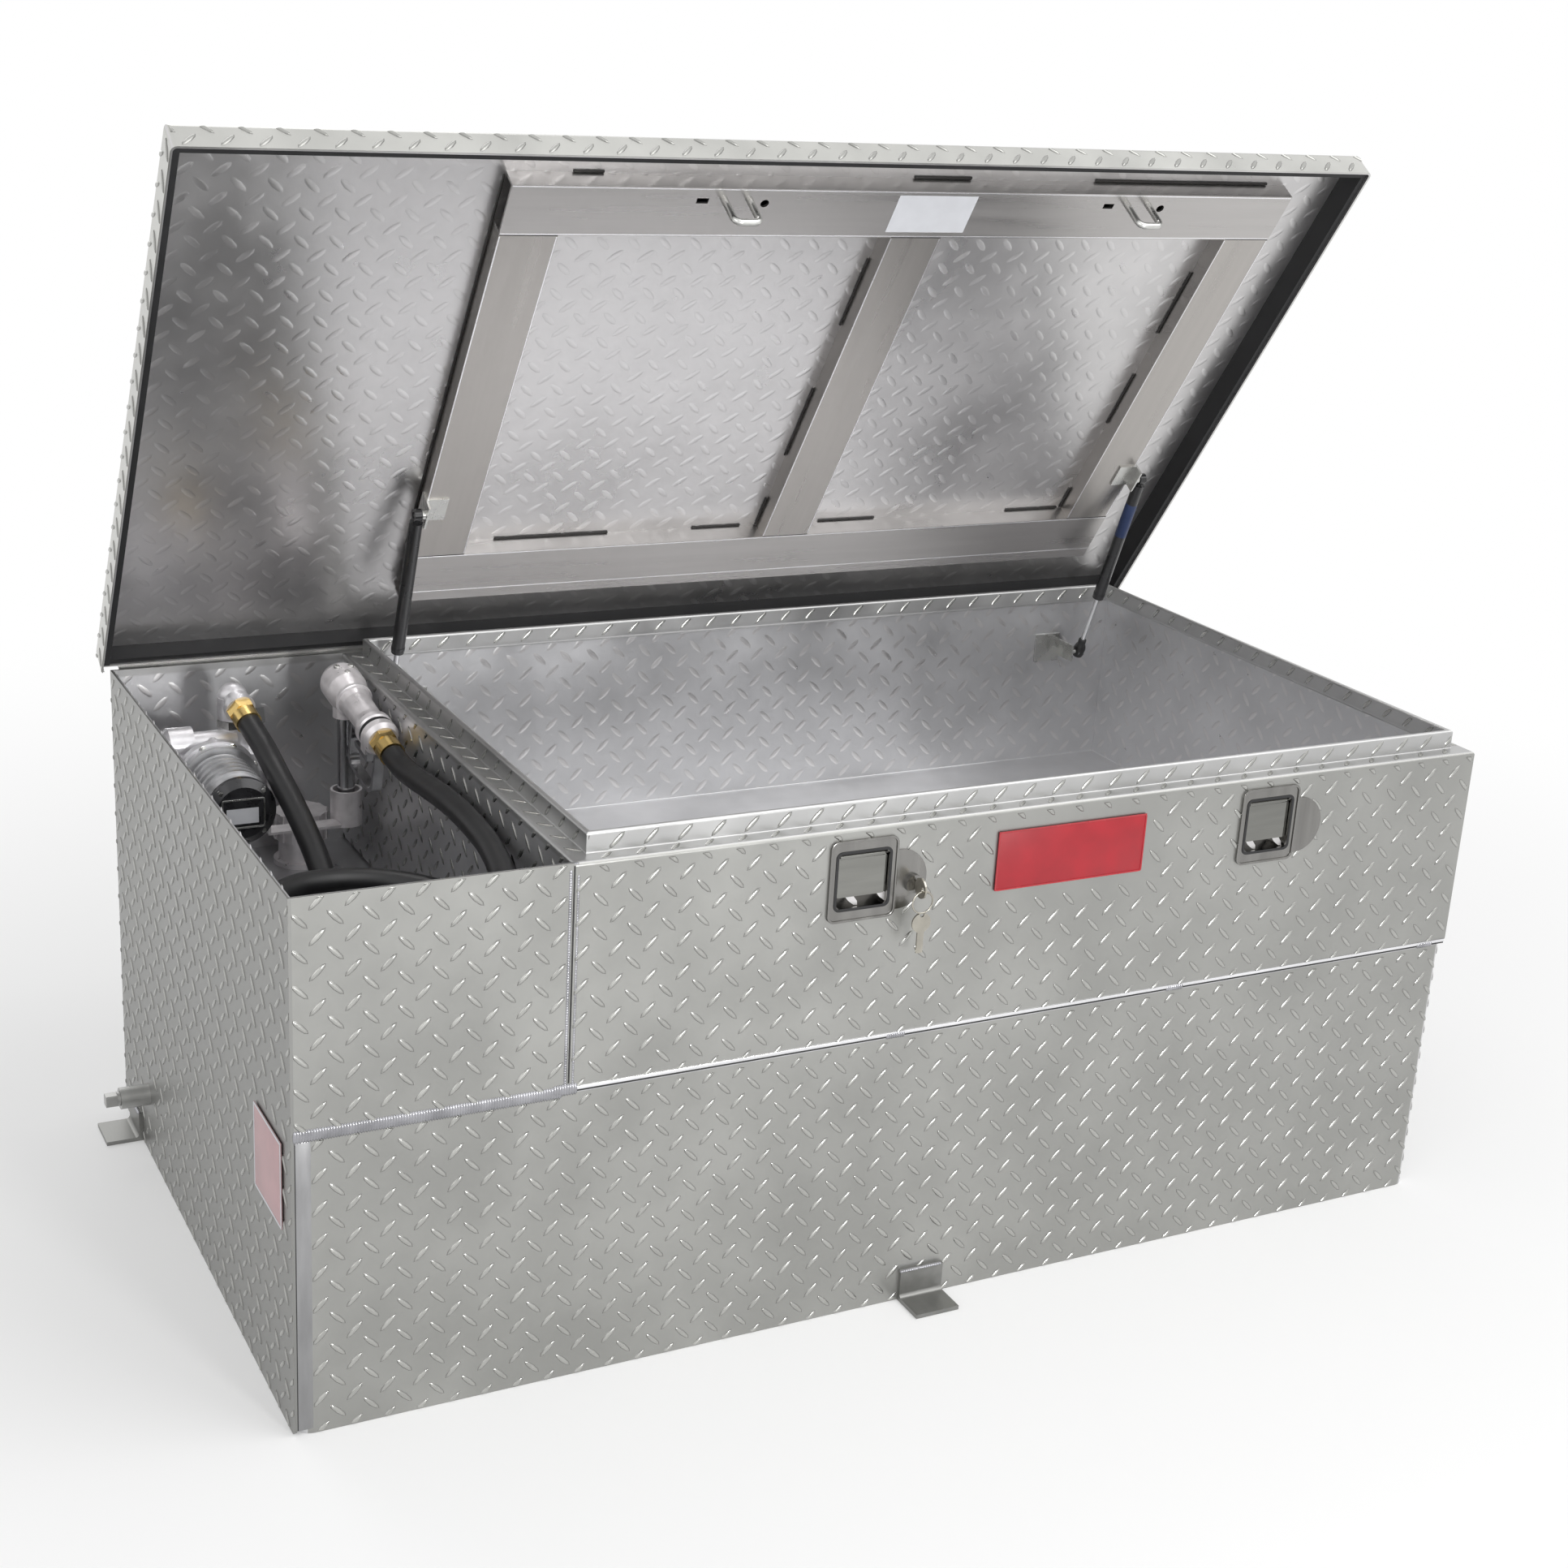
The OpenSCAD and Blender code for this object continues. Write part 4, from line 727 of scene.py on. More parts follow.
@dataclass
class TreadField:
    """The raised bars over one flat or folded panel.

    Attributes:
        name: The piece's name.
        foot: The panel's first corner, in millimetres.
        along: Unit way of its first axis.
        up: Unit way of its second axis.
        size: Its length and height, in millimetres.
        phase: Centre of one rising bar from the first corner.
        pitch: Spacing of the rising bars along and up.
        proud: Height of a bar.
        holes: Areas without bars, each as low and high along and up.
        folds: Start and radius of each right-angled fold, away from the outer face.
        on_lid: Whether the panel is on the lid.
        finish: Finish of the bars.
        half: Half the length and half the width of a bar.
    """

    name: str
    foot: Point
    along: Point
    up: Point
    size: tuple[float, float]
    phase: tuple[float, float] = (10.0, 10.0)
    pitch: tuple[float, float] = (36.8, 36.0)
    proud: float = 1.3
    holes: Sequence[tuple[float, float, float, float]] = ()
    folds: Sequence[tuple[float, float]] = ()
    on_lid: bool = False
    finish: Finish = Finishes.CREST
    half: tuple[float, float] = (11.5, 3.0)

    def bar(self, name: str, slant: float) -> bpy.types.Object:
        """Models one lens-shaped bar, flat underneath and rounded on top.

        Args:
            name: The bar's name.
            slant: Its slope in the panel, in degrees.

        Returns:
            The bar, with its height kept as an attribute.
        """
        Bench.clear()
        bpy.ops.mesh.primitive_circle_add(vertices=8, radius=MM, fill_type="NGON")
        obj = Bench.named(name)
        Bench.edit(obj)
        bpy.ops.transform.resize(value=(*self.half, 1.0), center_override=(0.0, 0.0, 0.0))
        for rise, share in ((0.6, (0.88, 0.74, 1.0)), (0.4, (0.62, 0.4, 1.0))):
            lift = rise * self.proud * MM
            bpy.ops.mesh.extrude_region_move(TRANSFORM_OT_translate={"value": (0.0, 0.0, lift)})
            bpy.ops.transform.resize(value=share, center_override=(0.0, 0.0, 0.0))
        Bench.close(obj)
        height = obj.data.attributes.new("crest", "FLOAT", "POINT")
        top = self.proud * MM
        height.data.foreach_set("value", [v.co.z / top for v in obj.data.vertices])
        return Bench.settle(obj, Matrix.Rotation(math.radians(slant), 4, "Z"))

    def lattice(self, slant: float, shift: tuple[float, float]) -> bpy.types.Object:
        """Repeats one bar over the panel.

        Args:
            slant: Slope of the bars, in degrees.
            shift: Centre of one bar from the first corner.

        Returns:
            The bars of one slope.
        """
        obj = self.bar(self.name, slant)
        per_bar = len(obj.data.vertices)
        starts = []
        for way, (pitch, size, centre) in enumerate(zip(self.pitch, self.size, shift)):
            start = centre - math.ceil((centre + 8.0) / pitch) * pitch
            starts.append(start)
            repeat = obj.modifiers.new("repeat", "ARRAY")
            repeat.use_relative_offset = False
            repeat.use_constant_offset = True
            step = [0.0, 0.0, 0.0]
            step[way] = pitch * MM
            repeat.constant_offset_displace = step
            repeat.count = int((size + 8.0 - start) / pitch) + 1
            Bench.pick(obj)
            bpy.ops.object.modifier_apply(modifier=repeat.name)
        Bench.settle(obj, Matrix.Translation(Vector((starts[0], starts[1], 0.0)) * MM))
        self.clear_holes(obj, per_bar)
        return obj

    def clear_holes(self, obj: bpy.types.Object, per_bar: int) -> None:
        """Takes out the bars whose middle lies in one of the holes.

        Args:
            obj: The repeated bars.
            per_bar: Vertices of one bar.
        """
        if not self.holes:
            return
        Bench.edit(obj)
        bpy.ops.mesh.select_mode(type="VERT")
        bpy.ops.mesh.select_all(action="DESELECT")
        bpy.ops.object.mode_set(mode="OBJECT")
        vertices = obj.data.vertices
        for first in range(0, len(vertices), per_bar):
            block = range(first, first + per_bar)
            u = sum(vertices[i].co.x for i in block) / per_bar / MM
            v = sum(vertices[i].co.y for i in block) / per_bar / MM
            if any(a < u < c and b < v < d for a, b, c, d in self.holes):
                for i in block:
                    vertices[i].select = True
        bpy.ops.object.mode_set(mode="EDIT")
        bpy.ops.mesh.delete(type="VERT")
        bpy.ops.object.mode_set(mode="OBJECT")

    def trim(self, obj: bpy.types.Object) -> None:
        """Cuts the bars off at the panel's four edges.

        Args:
            obj: The bars, in the panel's own plane.
        """
        length, height = (s * MM for s in self.size)
        Bench.edit(obj)
        cuts = (
            ((0.0, 0.0, 0.0), (-1.0, 0.0, 0.0)),
            ((length, 0.0, 0.0), (1.0, 0.0, 0.0)),
            ((0.0, 0.0, 0.0), (0.0, -1.0, 0.0)),
            ((0.0, height, 0.0), (0.0, 1.0, 0.0)),
        )
        for where, outward in cuts:
            bpy.ops.mesh.select_all(action="SELECT")
            bpy.ops.mesh.bisect(
                plane_co=where, plane_no=outward, clear_outer=True, use_fill=True, threshold=1e-6
            )
        Bench.close(obj)

    def fold(self, obj: bpy.types.Object) -> None:
        """Lays the bars round the folds of the sheet, the last fold first.

        Args:
            obj: The bars, in the flat sheet's plane.
        """
        flat = [vertex.co.x / MM for vertex in obj.data.vertices]
        for start, radius in sorted(self.folds, reverse=True):
            arc = radius * math.pi / 2
            for vertex, u in zip(obj.data.vertices, flat):
                if u <= start:
                    continue
                p, q = vertex.co.x / MM, vertex.co.z / MM
                if u < start + arc:
                    turn = (u - start) / radius
                    p = start + (radius + q) * math.sin(turn)
                    q = (radius + q) * math.cos(turn) - radius
                else:
                    p, q = start + radius + q, -radius - (p - start - arc)
                vertex.co.x, vertex.co.z = p * MM, q * MM

    def build(self) -> bpy.types.Object:
        """Models the bars, puts them on their panel and dresses them.

        Returns:
            The bars of the panel.
        """
        u, v = self.phase
        half = (u + self.pitch[0] / 2, v + self.pitch[1] / 2)
        obj = Bench.join(self.name, [self.lattice(45.0, self.phase), self.lattice(-45.0, half)])
        self.trim(obj)
        if self.folds:
            self.fold(obj)
        where = facing(self.along, self.up, place(*self.foot))
        Bench.settle(obj, lid_swing() @ where if self.on_lid else where)
        body = "lid" if self.on_lid else "tank"
        return Bench.finish(obj, self.finish, body, "tread_plate", smooth=60.0)


@dataclass
class Tank:
    """The fuel tank, the walls of the bay and of the toolbox above it, and their plates and welds.

    Attributes:
        length: Length of the tank.
        depth: Depth of the tank.
        seam: Height of the tank's top seam.
        wall: Height of the box walls.
        bay: Length of the pump bay.
        bend: Radius of the tank's upright bends.
        sheet: Thickness of the sheet.
    """

    length: float = 1422.0
    depth: float = 756.0
    seam: float = 330.0
    wall: float = 572.0
    bay: float = 280.0
    bend: float = 18.0
    sheet: float = 3.2
    latches: tuple[float, float] = (600.0, 1123.0)
    latch_height: float = 515.0

    def fields(self) -> list[TreadField]:
        """Lists the panels of tread plate on the tank body.

        Returns:
            One field for each panel.
        """
        right, back = self.length, self.depth
        inner = self.sheet
        run = right - self.bend
        side = back - 2 * self.bend
        arc = self.bend * math.pi / 2
        rise = self.wall - self.seam
        dishes = tuple(
            (x - 38 - self.bay - 3, 515 - 38 - 334.0, x + 38 - self.bay - 3, 515 + 38 - 334.0)
            for x in self.latches
        )
        lock = (660 - 14 - 283.0, 504 - 14 - 334.0, 660 + 14 - 283.0, 504 + 14 - 334.0)
        badge = (758 - 283.0, 476 - 334.0, 956 - 283.0, 553 - 334.0)
        faint = {"proud": 0.2, "finish": Finishes.IMPRINT, "half": (12.0, 3.8)}
        return [
            TreadField(
                "tread_on_the_tank", (20, 0, 2), (1, 0, 0), (0, 0, 1),
                (run - 20 + arc + side + arc + run - 22, self.seam - 10), (7.0, 0.0), (34.1, 35.3),
                folds=((run - 20, self.bend), (run - 20 + arc + side, self.bend)),
            ),
            TreadField(
                "tread_on_the_end_plate", (0, back, 2), (0, -1, 0), (0, 0, 1),
                (back - 1, self.wall - 9), (12.0, 22.0), (35.2, 35.6),
                holes=((back - 130, 212.0, back - 24, 314.0), (100, 55, 160, 105)),
            ),
            TreadField(
                "tread_on_the_bay_front", (3.5, 0, 334), (1, 0, 0), (0, 0, 1),
                (self.bay - 9, rise - 6), (23.6, 20.2), (34.1, 35.3),
            ),
            TreadField(
                "tread_on_the_toolbox_front", (self.bay + 3, 0, 334), (1, 0, 0), (0, 0, 1),
                (right - self.bay - 8, rise - 10), (326.9 - 283 - 36.8, 35.0),
                holes=(*dishes, lock, badge),
            ),
            TreadField(
                "tread_on_the_toolbox_end", (right, 5, 334), (0, 1, 0), (0, 0, 1),
                (back - 10, rise - 10), (14.0, 30.0),
            ),
            TreadField(
                "tread_on_the_boxes_behind", (right - 5, back, 334), (-1, 0, 0), (0, 0, 1),
                (right - 8, 195.0), (20.0, 28.0),
            ),
            TreadField(
                "tread_beside_the_bay", (self.bay, back - 5, 332), (0, -1, 0), (0, 0, 1),
                (back - 10, rise - 8), (20.0, 18.0),
            ),
            TreadField(
                "imprint_behind_the_toolbox", (self.bay + 5, back - inner, 334), (1, 0, 0), (0, 0, 1),
                (right - self.bay - 10, rise - 9), (15.0, 12.0), **faint,
            ),
            TreadField(
                "imprint_at_the_toolbox_end", (right - inner, back - 5, 334), (0, -1, 0), (0, 0, 1),
                (back - 10, rise - 9), (18.0, 16.0), **faint,
            ),
            TreadField(
                "imprint_beside_the_toolbox", (self.bay + inner, 5, 334), (0, 1, 0), (0, 0, 1),
                (back - 10, rise - 9), (18.0, 16.0), **faint,
            ),
            TreadField(
                "imprint_at_the_toolbox_front", (right - 5, inner, 334), (-1, 0, 0), (0, 0, 1),
                (right - self.bay - 10, rise - 75), (18.0, 16.0), **faint,
            ),
            TreadField(
                "imprint_inside_the_end_plate", (inner, 5, 334), (0, 1, 0), (0, 0, 1),
                (back - 10, rise - 2), (18.0, 16.0), **faint,
            ),
            TreadField(
                "imprint_behind_the_bay", (5, back - inner, 334), (1, 0, 0), (0, 0, 1),
                (self.bay - 8, rise - 12), (15.0, 12.0), **faint,
            ),
        ]

    def rim_fields(self) -> list[TreadField]:
        """Lists the narrow strips of tread plate round the toolbox mouth.

        Returns:
            The ledge and the lip of each side.
        """
        left, right, back = self.bay, self.length, self.depth
        top, lip_foot, lip = self.wall, self.wall + 1.5, 17.5
        rim = 20.0
        hem = 26.45
        small = {"proud": 1.0, "pitch": (36.8, 36.0)}
        return [
            TreadField("tread_on_the_front_ledge", (left + 20, 4.6, top), (1, 0, 0), (0, 1, 0),
                       (right - left - 40, 14.0), (18.0, 7.0), **small),
            TreadField("tread_on_the_front_lip", (left + 22, rim, lip_foot), (1, 0, 0), (0, 0, 1),
                       (right - left - 44, lip), (30.0, 9.0), **small),
            TreadField("tread_on_the_left_ledge", (left + 19, 20, top), (0, 1, 0), (-1, 0, 0),
                       (back - 40, 14.0), (14.0, 7.0), **small),
            TreadField("tread_on_the_left_lip", (left + rim, back - 22, lip_foot), (0, -1, 0), (0, 0, 1),
                       (back - 44, lip), (24.0, 9.0), **small),
            TreadField("tread_on_the_right_ledge", (right - 4.6, 20, top), (0, 1, 0), (-1, 0, 0),
                       (back - 40, 14.0), (14.0, 7.0), **small),
            TreadField("tread_on_the_right_lip", (right - rim, 22, lip_foot), (0, 1, 0), (0, 0, 1),
                       (back - 44, lip), (24.0, 9.0), **small),
            TreadField("tread_inside_the_rear_lip", (left + 28, back - hem, lip_foot + 3), (1, 0, 0), (0, 0, 1),
                       (right - left - 56, 13.5), (20.0, 7.0), **small),
            TreadField("tread_inside_the_right_lip", (right - hem, back - 28, lip_foot + 3), (0, -1, 0), (0, 0, 1),
                       (back - 56, 13.5), (12.0, 7.0), **small),
            TreadField("tread_on_the_rear_lip", (right - 22, back - rim, lip_foot), (-1, 0, 0), (0, 0, 1),
                       (right - left - 44, lip), (30.0, 9.0), **small),
        ]

    @staticmethod
    def bead(
        name: str, start: Point, end: Point, wide: float = 5.0, proud: float = 1.5, out: Point = (0, -1, 0)
    ) -> bpy.types.Object:
        """Models a weld bead as a row of overlapping ripples.

        Args:
            name: The bead's name.
            start: Where it starts, in millimetres.
            end: Where it ends, in millimetres.
            wide: Width of the bead.
            proud: Height of the bead over the seam.
            out: The way it stands off the sheet.

        Returns:
            The bead.
        """
        Bench.clear()
        bpy.ops.mesh.primitive_uv_sphere_add(segments=8, ring_count=6, radius=MM)
        obj = Bench.named(name)
        Bench.edit(obj)
        bpy.ops.transform.resize(value=(2.6, wide / 2, proud), center_override=(0.0, 0.0, 0.0))
        Bench.close(obj)
        run = Vector(end) - Vector(start)
        repeat = obj.modifiers.new("ripples", "ARRAY")
        repeat.use_relative_offset = False
        repeat.use_constant_offset = True
        repeat.constant_offset_displace = (2.7 * MM, 0.0, 0.0)
        repeat.count = max(2, int(run.length / 2.7))
        Bench.pick(obj)
        bpy.ops.object.modifier_apply(modifier=repeat.name)
        along, off = run.normalized(), Vector(out).normalized()
        turn = Matrix((along, off.cross(along), off)).transposed().to_4x4()
        Bench.settle(obj, Matrix.Translation(place(*start)) @ turn)
        return Bench.finish(obj, Finishes.WELD, "tank", "plain_aluminium", smooth=70.0)

    def welds(self) -> None:
        """Lays the visible weld beads."""
        seam, right, back = self.seam, self.length, self.depth
        joint = self.bay
        self.bead("weld_under_the_bay_front", (4, 0.3, seam - 1), (joint - 6, 0.3, seam - 1), 15, 2.0)
        self.bead("weld_left_of_the_bay_joint", (joint - 3.4, 0.2, seam + 6), (joint - 3.4, 0.2, 566), 4, 1.1)
        self.bead("weld_right_of_the_bay_joint", (joint + 4.6, 0.2, seam + 3), (joint + 4.6, 0.2, 560), 3, 0.9)
        self.bead("weld_at_the_joints_foot", (joint - 14, 0.3, seam + 1), (joint + 12, 0.3, seam + 1), 14, 2.4)
        for number, x in enumerate((645.0, 1010.0, 1380.0)):
            self.bead(f"stitch_weld_{number + 1}", (x, 0, seam), (x + 24, 0, seam), 8, 2.0)
        self.bead("weld_across_the_bay_corner", (joint - 16, 2, 571), (joint + 6, 2, 571), 4, 1.0, (0, 0, 1))
        rear, end, up = (0, 1, 0), (1, 0, 0), (0, 0, 1)
        self.bead("weld_along_the_rear_seam", (6, back - 0.4, seam), (right - 22, back - 0.4, seam), 8, 1.6, rear)
        self.bead("weld_along_the_end_seam", (right - 0.4, 22, seam), (right - 0.4, back - 22, seam), 8, 1.6, end)
        for name, start, finish in (
            ("weld_on_the_front_tab", (684.5, -4.9, 38), (737.5, -4.9, 38)),
            ("weld_on_the_rear_tab", (684.5, back + 4.9, 38), (737.5, back + 4.9, 38)),
            ("weld_on_the_left_tab", (-4.9, 662.5, 38), (-4.9, 715.5, 38)),
            ("weld_on_the_right_tab", (right + 4.9, 662.5, 38), (right + 4.9, 715.5, 38)),
        ):
            self.bead(name, start, finish, 5, 1.6, up)
        for name, low, high in (
            ("dressed_weld_at_the_front_corner", (3.3, 0.15, 5), (21.6, 13, seam - 7)),
            ("dressed_weld_at_the_rear_corner", (3.3, back - 13, 5), (21.6, back - 0.15, seam - 7)),
        ):
            Bench.finish(Bench.block(name, low, high, 1.2), Finishes.DRESSED, "tank", "plain_aluminium")

    def seams(self) -> None:
        """Draws the joints between the sheets as dark strips of painted shade, and a painted highlight along the fold
        beside them.
        """
        seam, right = self.seam, self.length
        # the dark strips are painted shade in the joints; the light strip is a painted highlight on the fold
        joints = (
            ("painted_shade_in_the_joint_under_the_toolbox", (284, -0.45, seam - 2.2), (right - 2, 0.4, seam - 0.6), Finishes.DARK),
            ("painted_highlight_on_the_fold_under_the_toolbox", (284, -1.3, seam + 0.2), (right - 2, 0.4, seam + 3.6), Finishes.PAINTED_HIGHLIGHT),
            ("painted_shade_in_the_joint_beside_the_bay", (279.4, -0.45, seam + 8), (281.2, 0.4, 569), Finishes.DARK),
            ("painted_shade_in_the_joint_at_the_front_corner", (3.2, -0.3, 6), (4.2, 0.6, seam - 9), Finishes.DARK),
        )
        for name, low, high, finish in joints:
            Bench.finish(Bench.block(name, low, high, 0.3), finish, "tank", "tread_plate")

    def plates(self) -> None:
        """Fixes the blank badge and the blank placard."""
        badge = Bench.block("blank_badge", (762, -2.4, 481), (952, -1.0, 548), 0.5)
        Bench.finish(badge, Finishes.RED, "tank")
        rim = Bench.ring("rim_of_the_badge", (190, 67), 3.0, 1.6, 0.5, facing((1, 0, 0), (0, 0, 1), place(857, -2.3, 514.5)))
        Bench.finish(rim, Finishes.RIM, "tank")
        placard = Bench.block("blank_placard", (-2.4, 28, 217), (-1.2, 125, 310), 0.4)
        Bench.finish(placard, Finishes.PINK, "tank")
        rim = Bench.ring("rim_of_the_placard", (97, 93), 2.0, 2.4, 0.4, facing((0, -1, 0), (0, 0, 1), place(-2.3, 76.5, 263.5)))
        Bench.finish(rim, Finishes.WHITE, "tank")

    def build(self) -> None:
        """Builds everything that the tank body carries."""
        for panel in (*self.fields(), *self.rim_fields()):
            panel.build()
        self.welds()
        self.seams()
        self.plates()


@dataclass
class Lid:
    """What the lid carries: its raised bars, its frame's sealant and its label."""

    left: float = -11.0
    right: float = 1433.0
    front: float = -12.0
    rear: float = 756.0
    top: float = 599.5
    under: float = 597.0
    web: float = 575.0

    def fields(self) -> list[TreadField]:
        """Lists the lid's panels of tread plate.

        Returns:
            The top, the skirts and the imprint underneath.
        """
        wide = self.right - self.left
        deep = self.rear - self.front
        return [
            TreadField(
                "tread_on_the_lid", (self.left + 7, self.front + 7, self.top), (1, 0, 0), (0, 1, 0),
                (wide - 14, deep - 12), (15.0, 16.0), on_lid=True,
            ),
            TreadField(
                "tread_on_the_lids_front", (self.left + 4, self.front, 565), (1, 0, 0), (0, 0, 1),
                (wide - 8, 28), (15.0, 9.0), on_lid=True,
            ),
            TreadField(
                "tread_on_the_lids_left_side", (self.left, self.rear - 4, 565), (0, -1, 0), (0, 0, 1),
                (deep - 8, 28), (15.0, 9.0), on_lid=True,
            ),
            TreadField(
                "tread_on_the_lids_right_side", (self.right, self.front + 4, 565), (0, 1, 0), (0, 0, 1),
                (deep - 8, 28), (15.0, 9.0), on_lid=True,
            ),
            TreadField(
                "imprint_under_the_lid", (0, 745, self.under), (1, 0, 0), (0, -1, 0),
                (1422, 742), (14.0, 20.0), proud=0.22, on_lid=True, finish=Finishes.IMPRINT, half=(12.5, 4.2),
            ),
        ]

    def label(self) -> None:
        """Sticks the blank label on the front rail."""
        obj = Bench.block("blank_rail_label", (800, 42, self.web - 0.35), (902, 94, self.web - 0.05), 0.1, 1)
        Bench.settle(obj, lid_swing())
        Bench.finish(obj, Finishes.WHITE, "lid")

    def sealant(self) -> None:
        """Runs the broken lines of black sealant along the frame, a line of painted shade along the left stile's
        outer wall, the lines at the frame's joints and painted highlights along its edges.
        """
        runs = (
            (807.4, 151, 809.8, 253), (807.4, 355, 809.8, 469), (806.6, 545, 809.8, 594),
            (1276, 173, 1278.4, 274), (1276, 345, 1278.4, 433), (1275.4, 556, 1278.4, 594),
            (452, 592, 602, 594.6), (718, 592.4, 786, 594.6), (900, 592.4, 984, 594.6),
            (1189, 592, 1272, 594.6), (415, 32.6, 450, 35.4), (824, 32.2, 899, 35.4),
            # the run from x 339 to 341.6 is painted shade on the left stile's outer wall, not sealant
            (1067, 32.4, 1317, 35.4), (339, 40, 341.6, 592),
        )
        bead = [
            Bench.block("sealant", (a, b, self.under - 1.8), (c, d, self.under + 0.2), 0.7)
            for a, b, c, d in runs
        ]
        obj = Bench.join("frame_sealant_and_painted_shade", bead)
        Bench.settle(obj, lid_swing())
        Bench.finish(obj, Finishes.SEALANT_AND_PAINTED_SHADE, "lid", "seal_rubber")
        gaps = [
            Bench.block("joint", (x + 0.5, y - 0.6, self.web - 0.12), (x + 65.5, y + 0.6, self.web + 0.3), 0.1, 1)
            for x in (342.0, 810.5, 1279.0) for y in (102.0, 595.0)
        ]
        obj = Bench.join("frame_joint_lines", gaps)
        Bench.settle(obj, lid_swing())
        Bench.finish(obj, Finishes.DARK, "lid", "frame_channel")
        # painted highlights: light strips along the edges of the frame's webs
        low, high = self.web - 0.16, self.web + 0.3
        edges = [
            Bench.block("edge", (a, b, low), (c, d, high), 0.1, 1)
            for x in (342.0, 810.5, 1279.0)
            for a, b, c, d in ((x + 0.4, 104, x + 1.8, 593), (x + 64.2, 104, x + 65.6, 593))
        ] + [
            Bench.block("edge", (343, y, low), (1344, y + 1.4, high), 0.1, 1) for y in (37.4, 99.6, 596.2, 658.4)
        ]
        obj = Bench.join("painted_highlights_on_the_frame_edges", edges)
        Bench.settle(obj, lid_swing())
        Bench.finish(obj, Finishes.PAINTED_HIGHLIGHT, "lid", "frame_channel")

    def rivets(self) -> None:
        """Rivets the hinge's two leaves on behind."""
        for name, z, where, body in (
            ("hinge_rivets_on_the_box", 547.0, Matrix(), "tank"),
            ("hinge_rivets_on_the_lid", 583.0, lid_swing(), "lid"),
        ):
            heads = [
                Bench.turned(
                    "rivet", (x, 757.4, z), (0, 1, 0), ((4.4, 0.0), (4.4, 0.5), (3.6, 1.5), (1.8, 2.2)), 16
                )
                for x in range(66, 1400, 92)
            ]
            obj = Bench.join(name, heads)
            Bench.settle(obj, where)
            Bench.finish(obj, Finishes.ZINC, body, "zinc_steel")

    def build(self) -> None:
        """Builds everything that the lid carries."""
        for panel in self.fields():
            panel.build()
        self.sealant()
        self.rivets()
        self.label()


@dataclass
class Latch:
    """Trim of one latch.

    Attributes:
        side: Its name on the tank.
        x: Middle of its dish.
        z: Height of the dish's middle.
        flange: Width and height of the flange.
    """

    side: str
    x: float
    z: float = 515.0
    flange: tuple[float, float] = (80.0, 90.0)

    def build(self) -> None:
        """Adds the bead round the flange and the black gasket round the mouth."""
        front = facing((1, 0, 0), (0, 0, 1), place(self.x, -1.6, self.z))
        bead = Bench.ring(f"{self.side}_latch_bead", self.flange, 9.0, 2.6, 1.5, front, 0.6)
        Bench.finish(bead, Finishes.STAINLESS, "tank", "stainless")
        gasket = Bench.ring(f"{self.side}_latch_gasket", (66, 66), 7.0, 3.1, 0.7, front, 0.2)
        Bench.finish(gasket, Finishes.SEAL, "tank", "seal_rubber")


@dataclass
class Strut:
    """Trim of one gas strut.

    Attributes:
        side: Its name on the tank.
        x: Plane in which it swings.
        top: Its stud on the open lid, across Y and Z.
        foot: Its stud on the box, across Y and Z.
    """

    side: str
    x: float
    top: tuple[float, float] = (622.15, 771.16)
    foot: tuple[float, float] = (725.0, 500.0)

    def build(self) -> None:
        """Adds the moulded sockets, the gland's collar and, on the right, the blank label."""
        down = Vector((0.0, self.foot[0] - self.top[0], self.foot[1] - self.top[1])).normalized()
        foot = (self.x, *self.foot)
        socket = Bench.turned(
            f"{self.side}_strut_socket", foot, -down,
            ((4.0, -9.6), (7.0, -8.2), (8.4, -4.0), (8.4, 5.0), (7.0, 10.0), (5.6, 12.0), (5.6, 19.0), (4.6, 20.2)),
            24,
        )
        Bench.finish(socket, Finishes.PLASTIC, f"{self.side}_rod", "black_plastic")
        top = (self.x, *self.top)
        collar = Bench.turned(
            f"{self.side}_strut_collar", top, down, ((8.1, 188.0), (8.5, 189.0), (8.5, 194.0), (8.1, 195.0)), 32
        )
        Bench.finish(collar, Finishes.BLACK_PAINT, f"{self.side}_tube", "black_paint")
        if self.side == "right":
            label = Bench.turned("blank_strut_label", top, down, ((8.1, 40.0), (8.15, 40.1), (8.15, 92.0), (8.1, 92.1)), 32)
            Bench.finish(label, Finishes.BLUE, "right_tube")


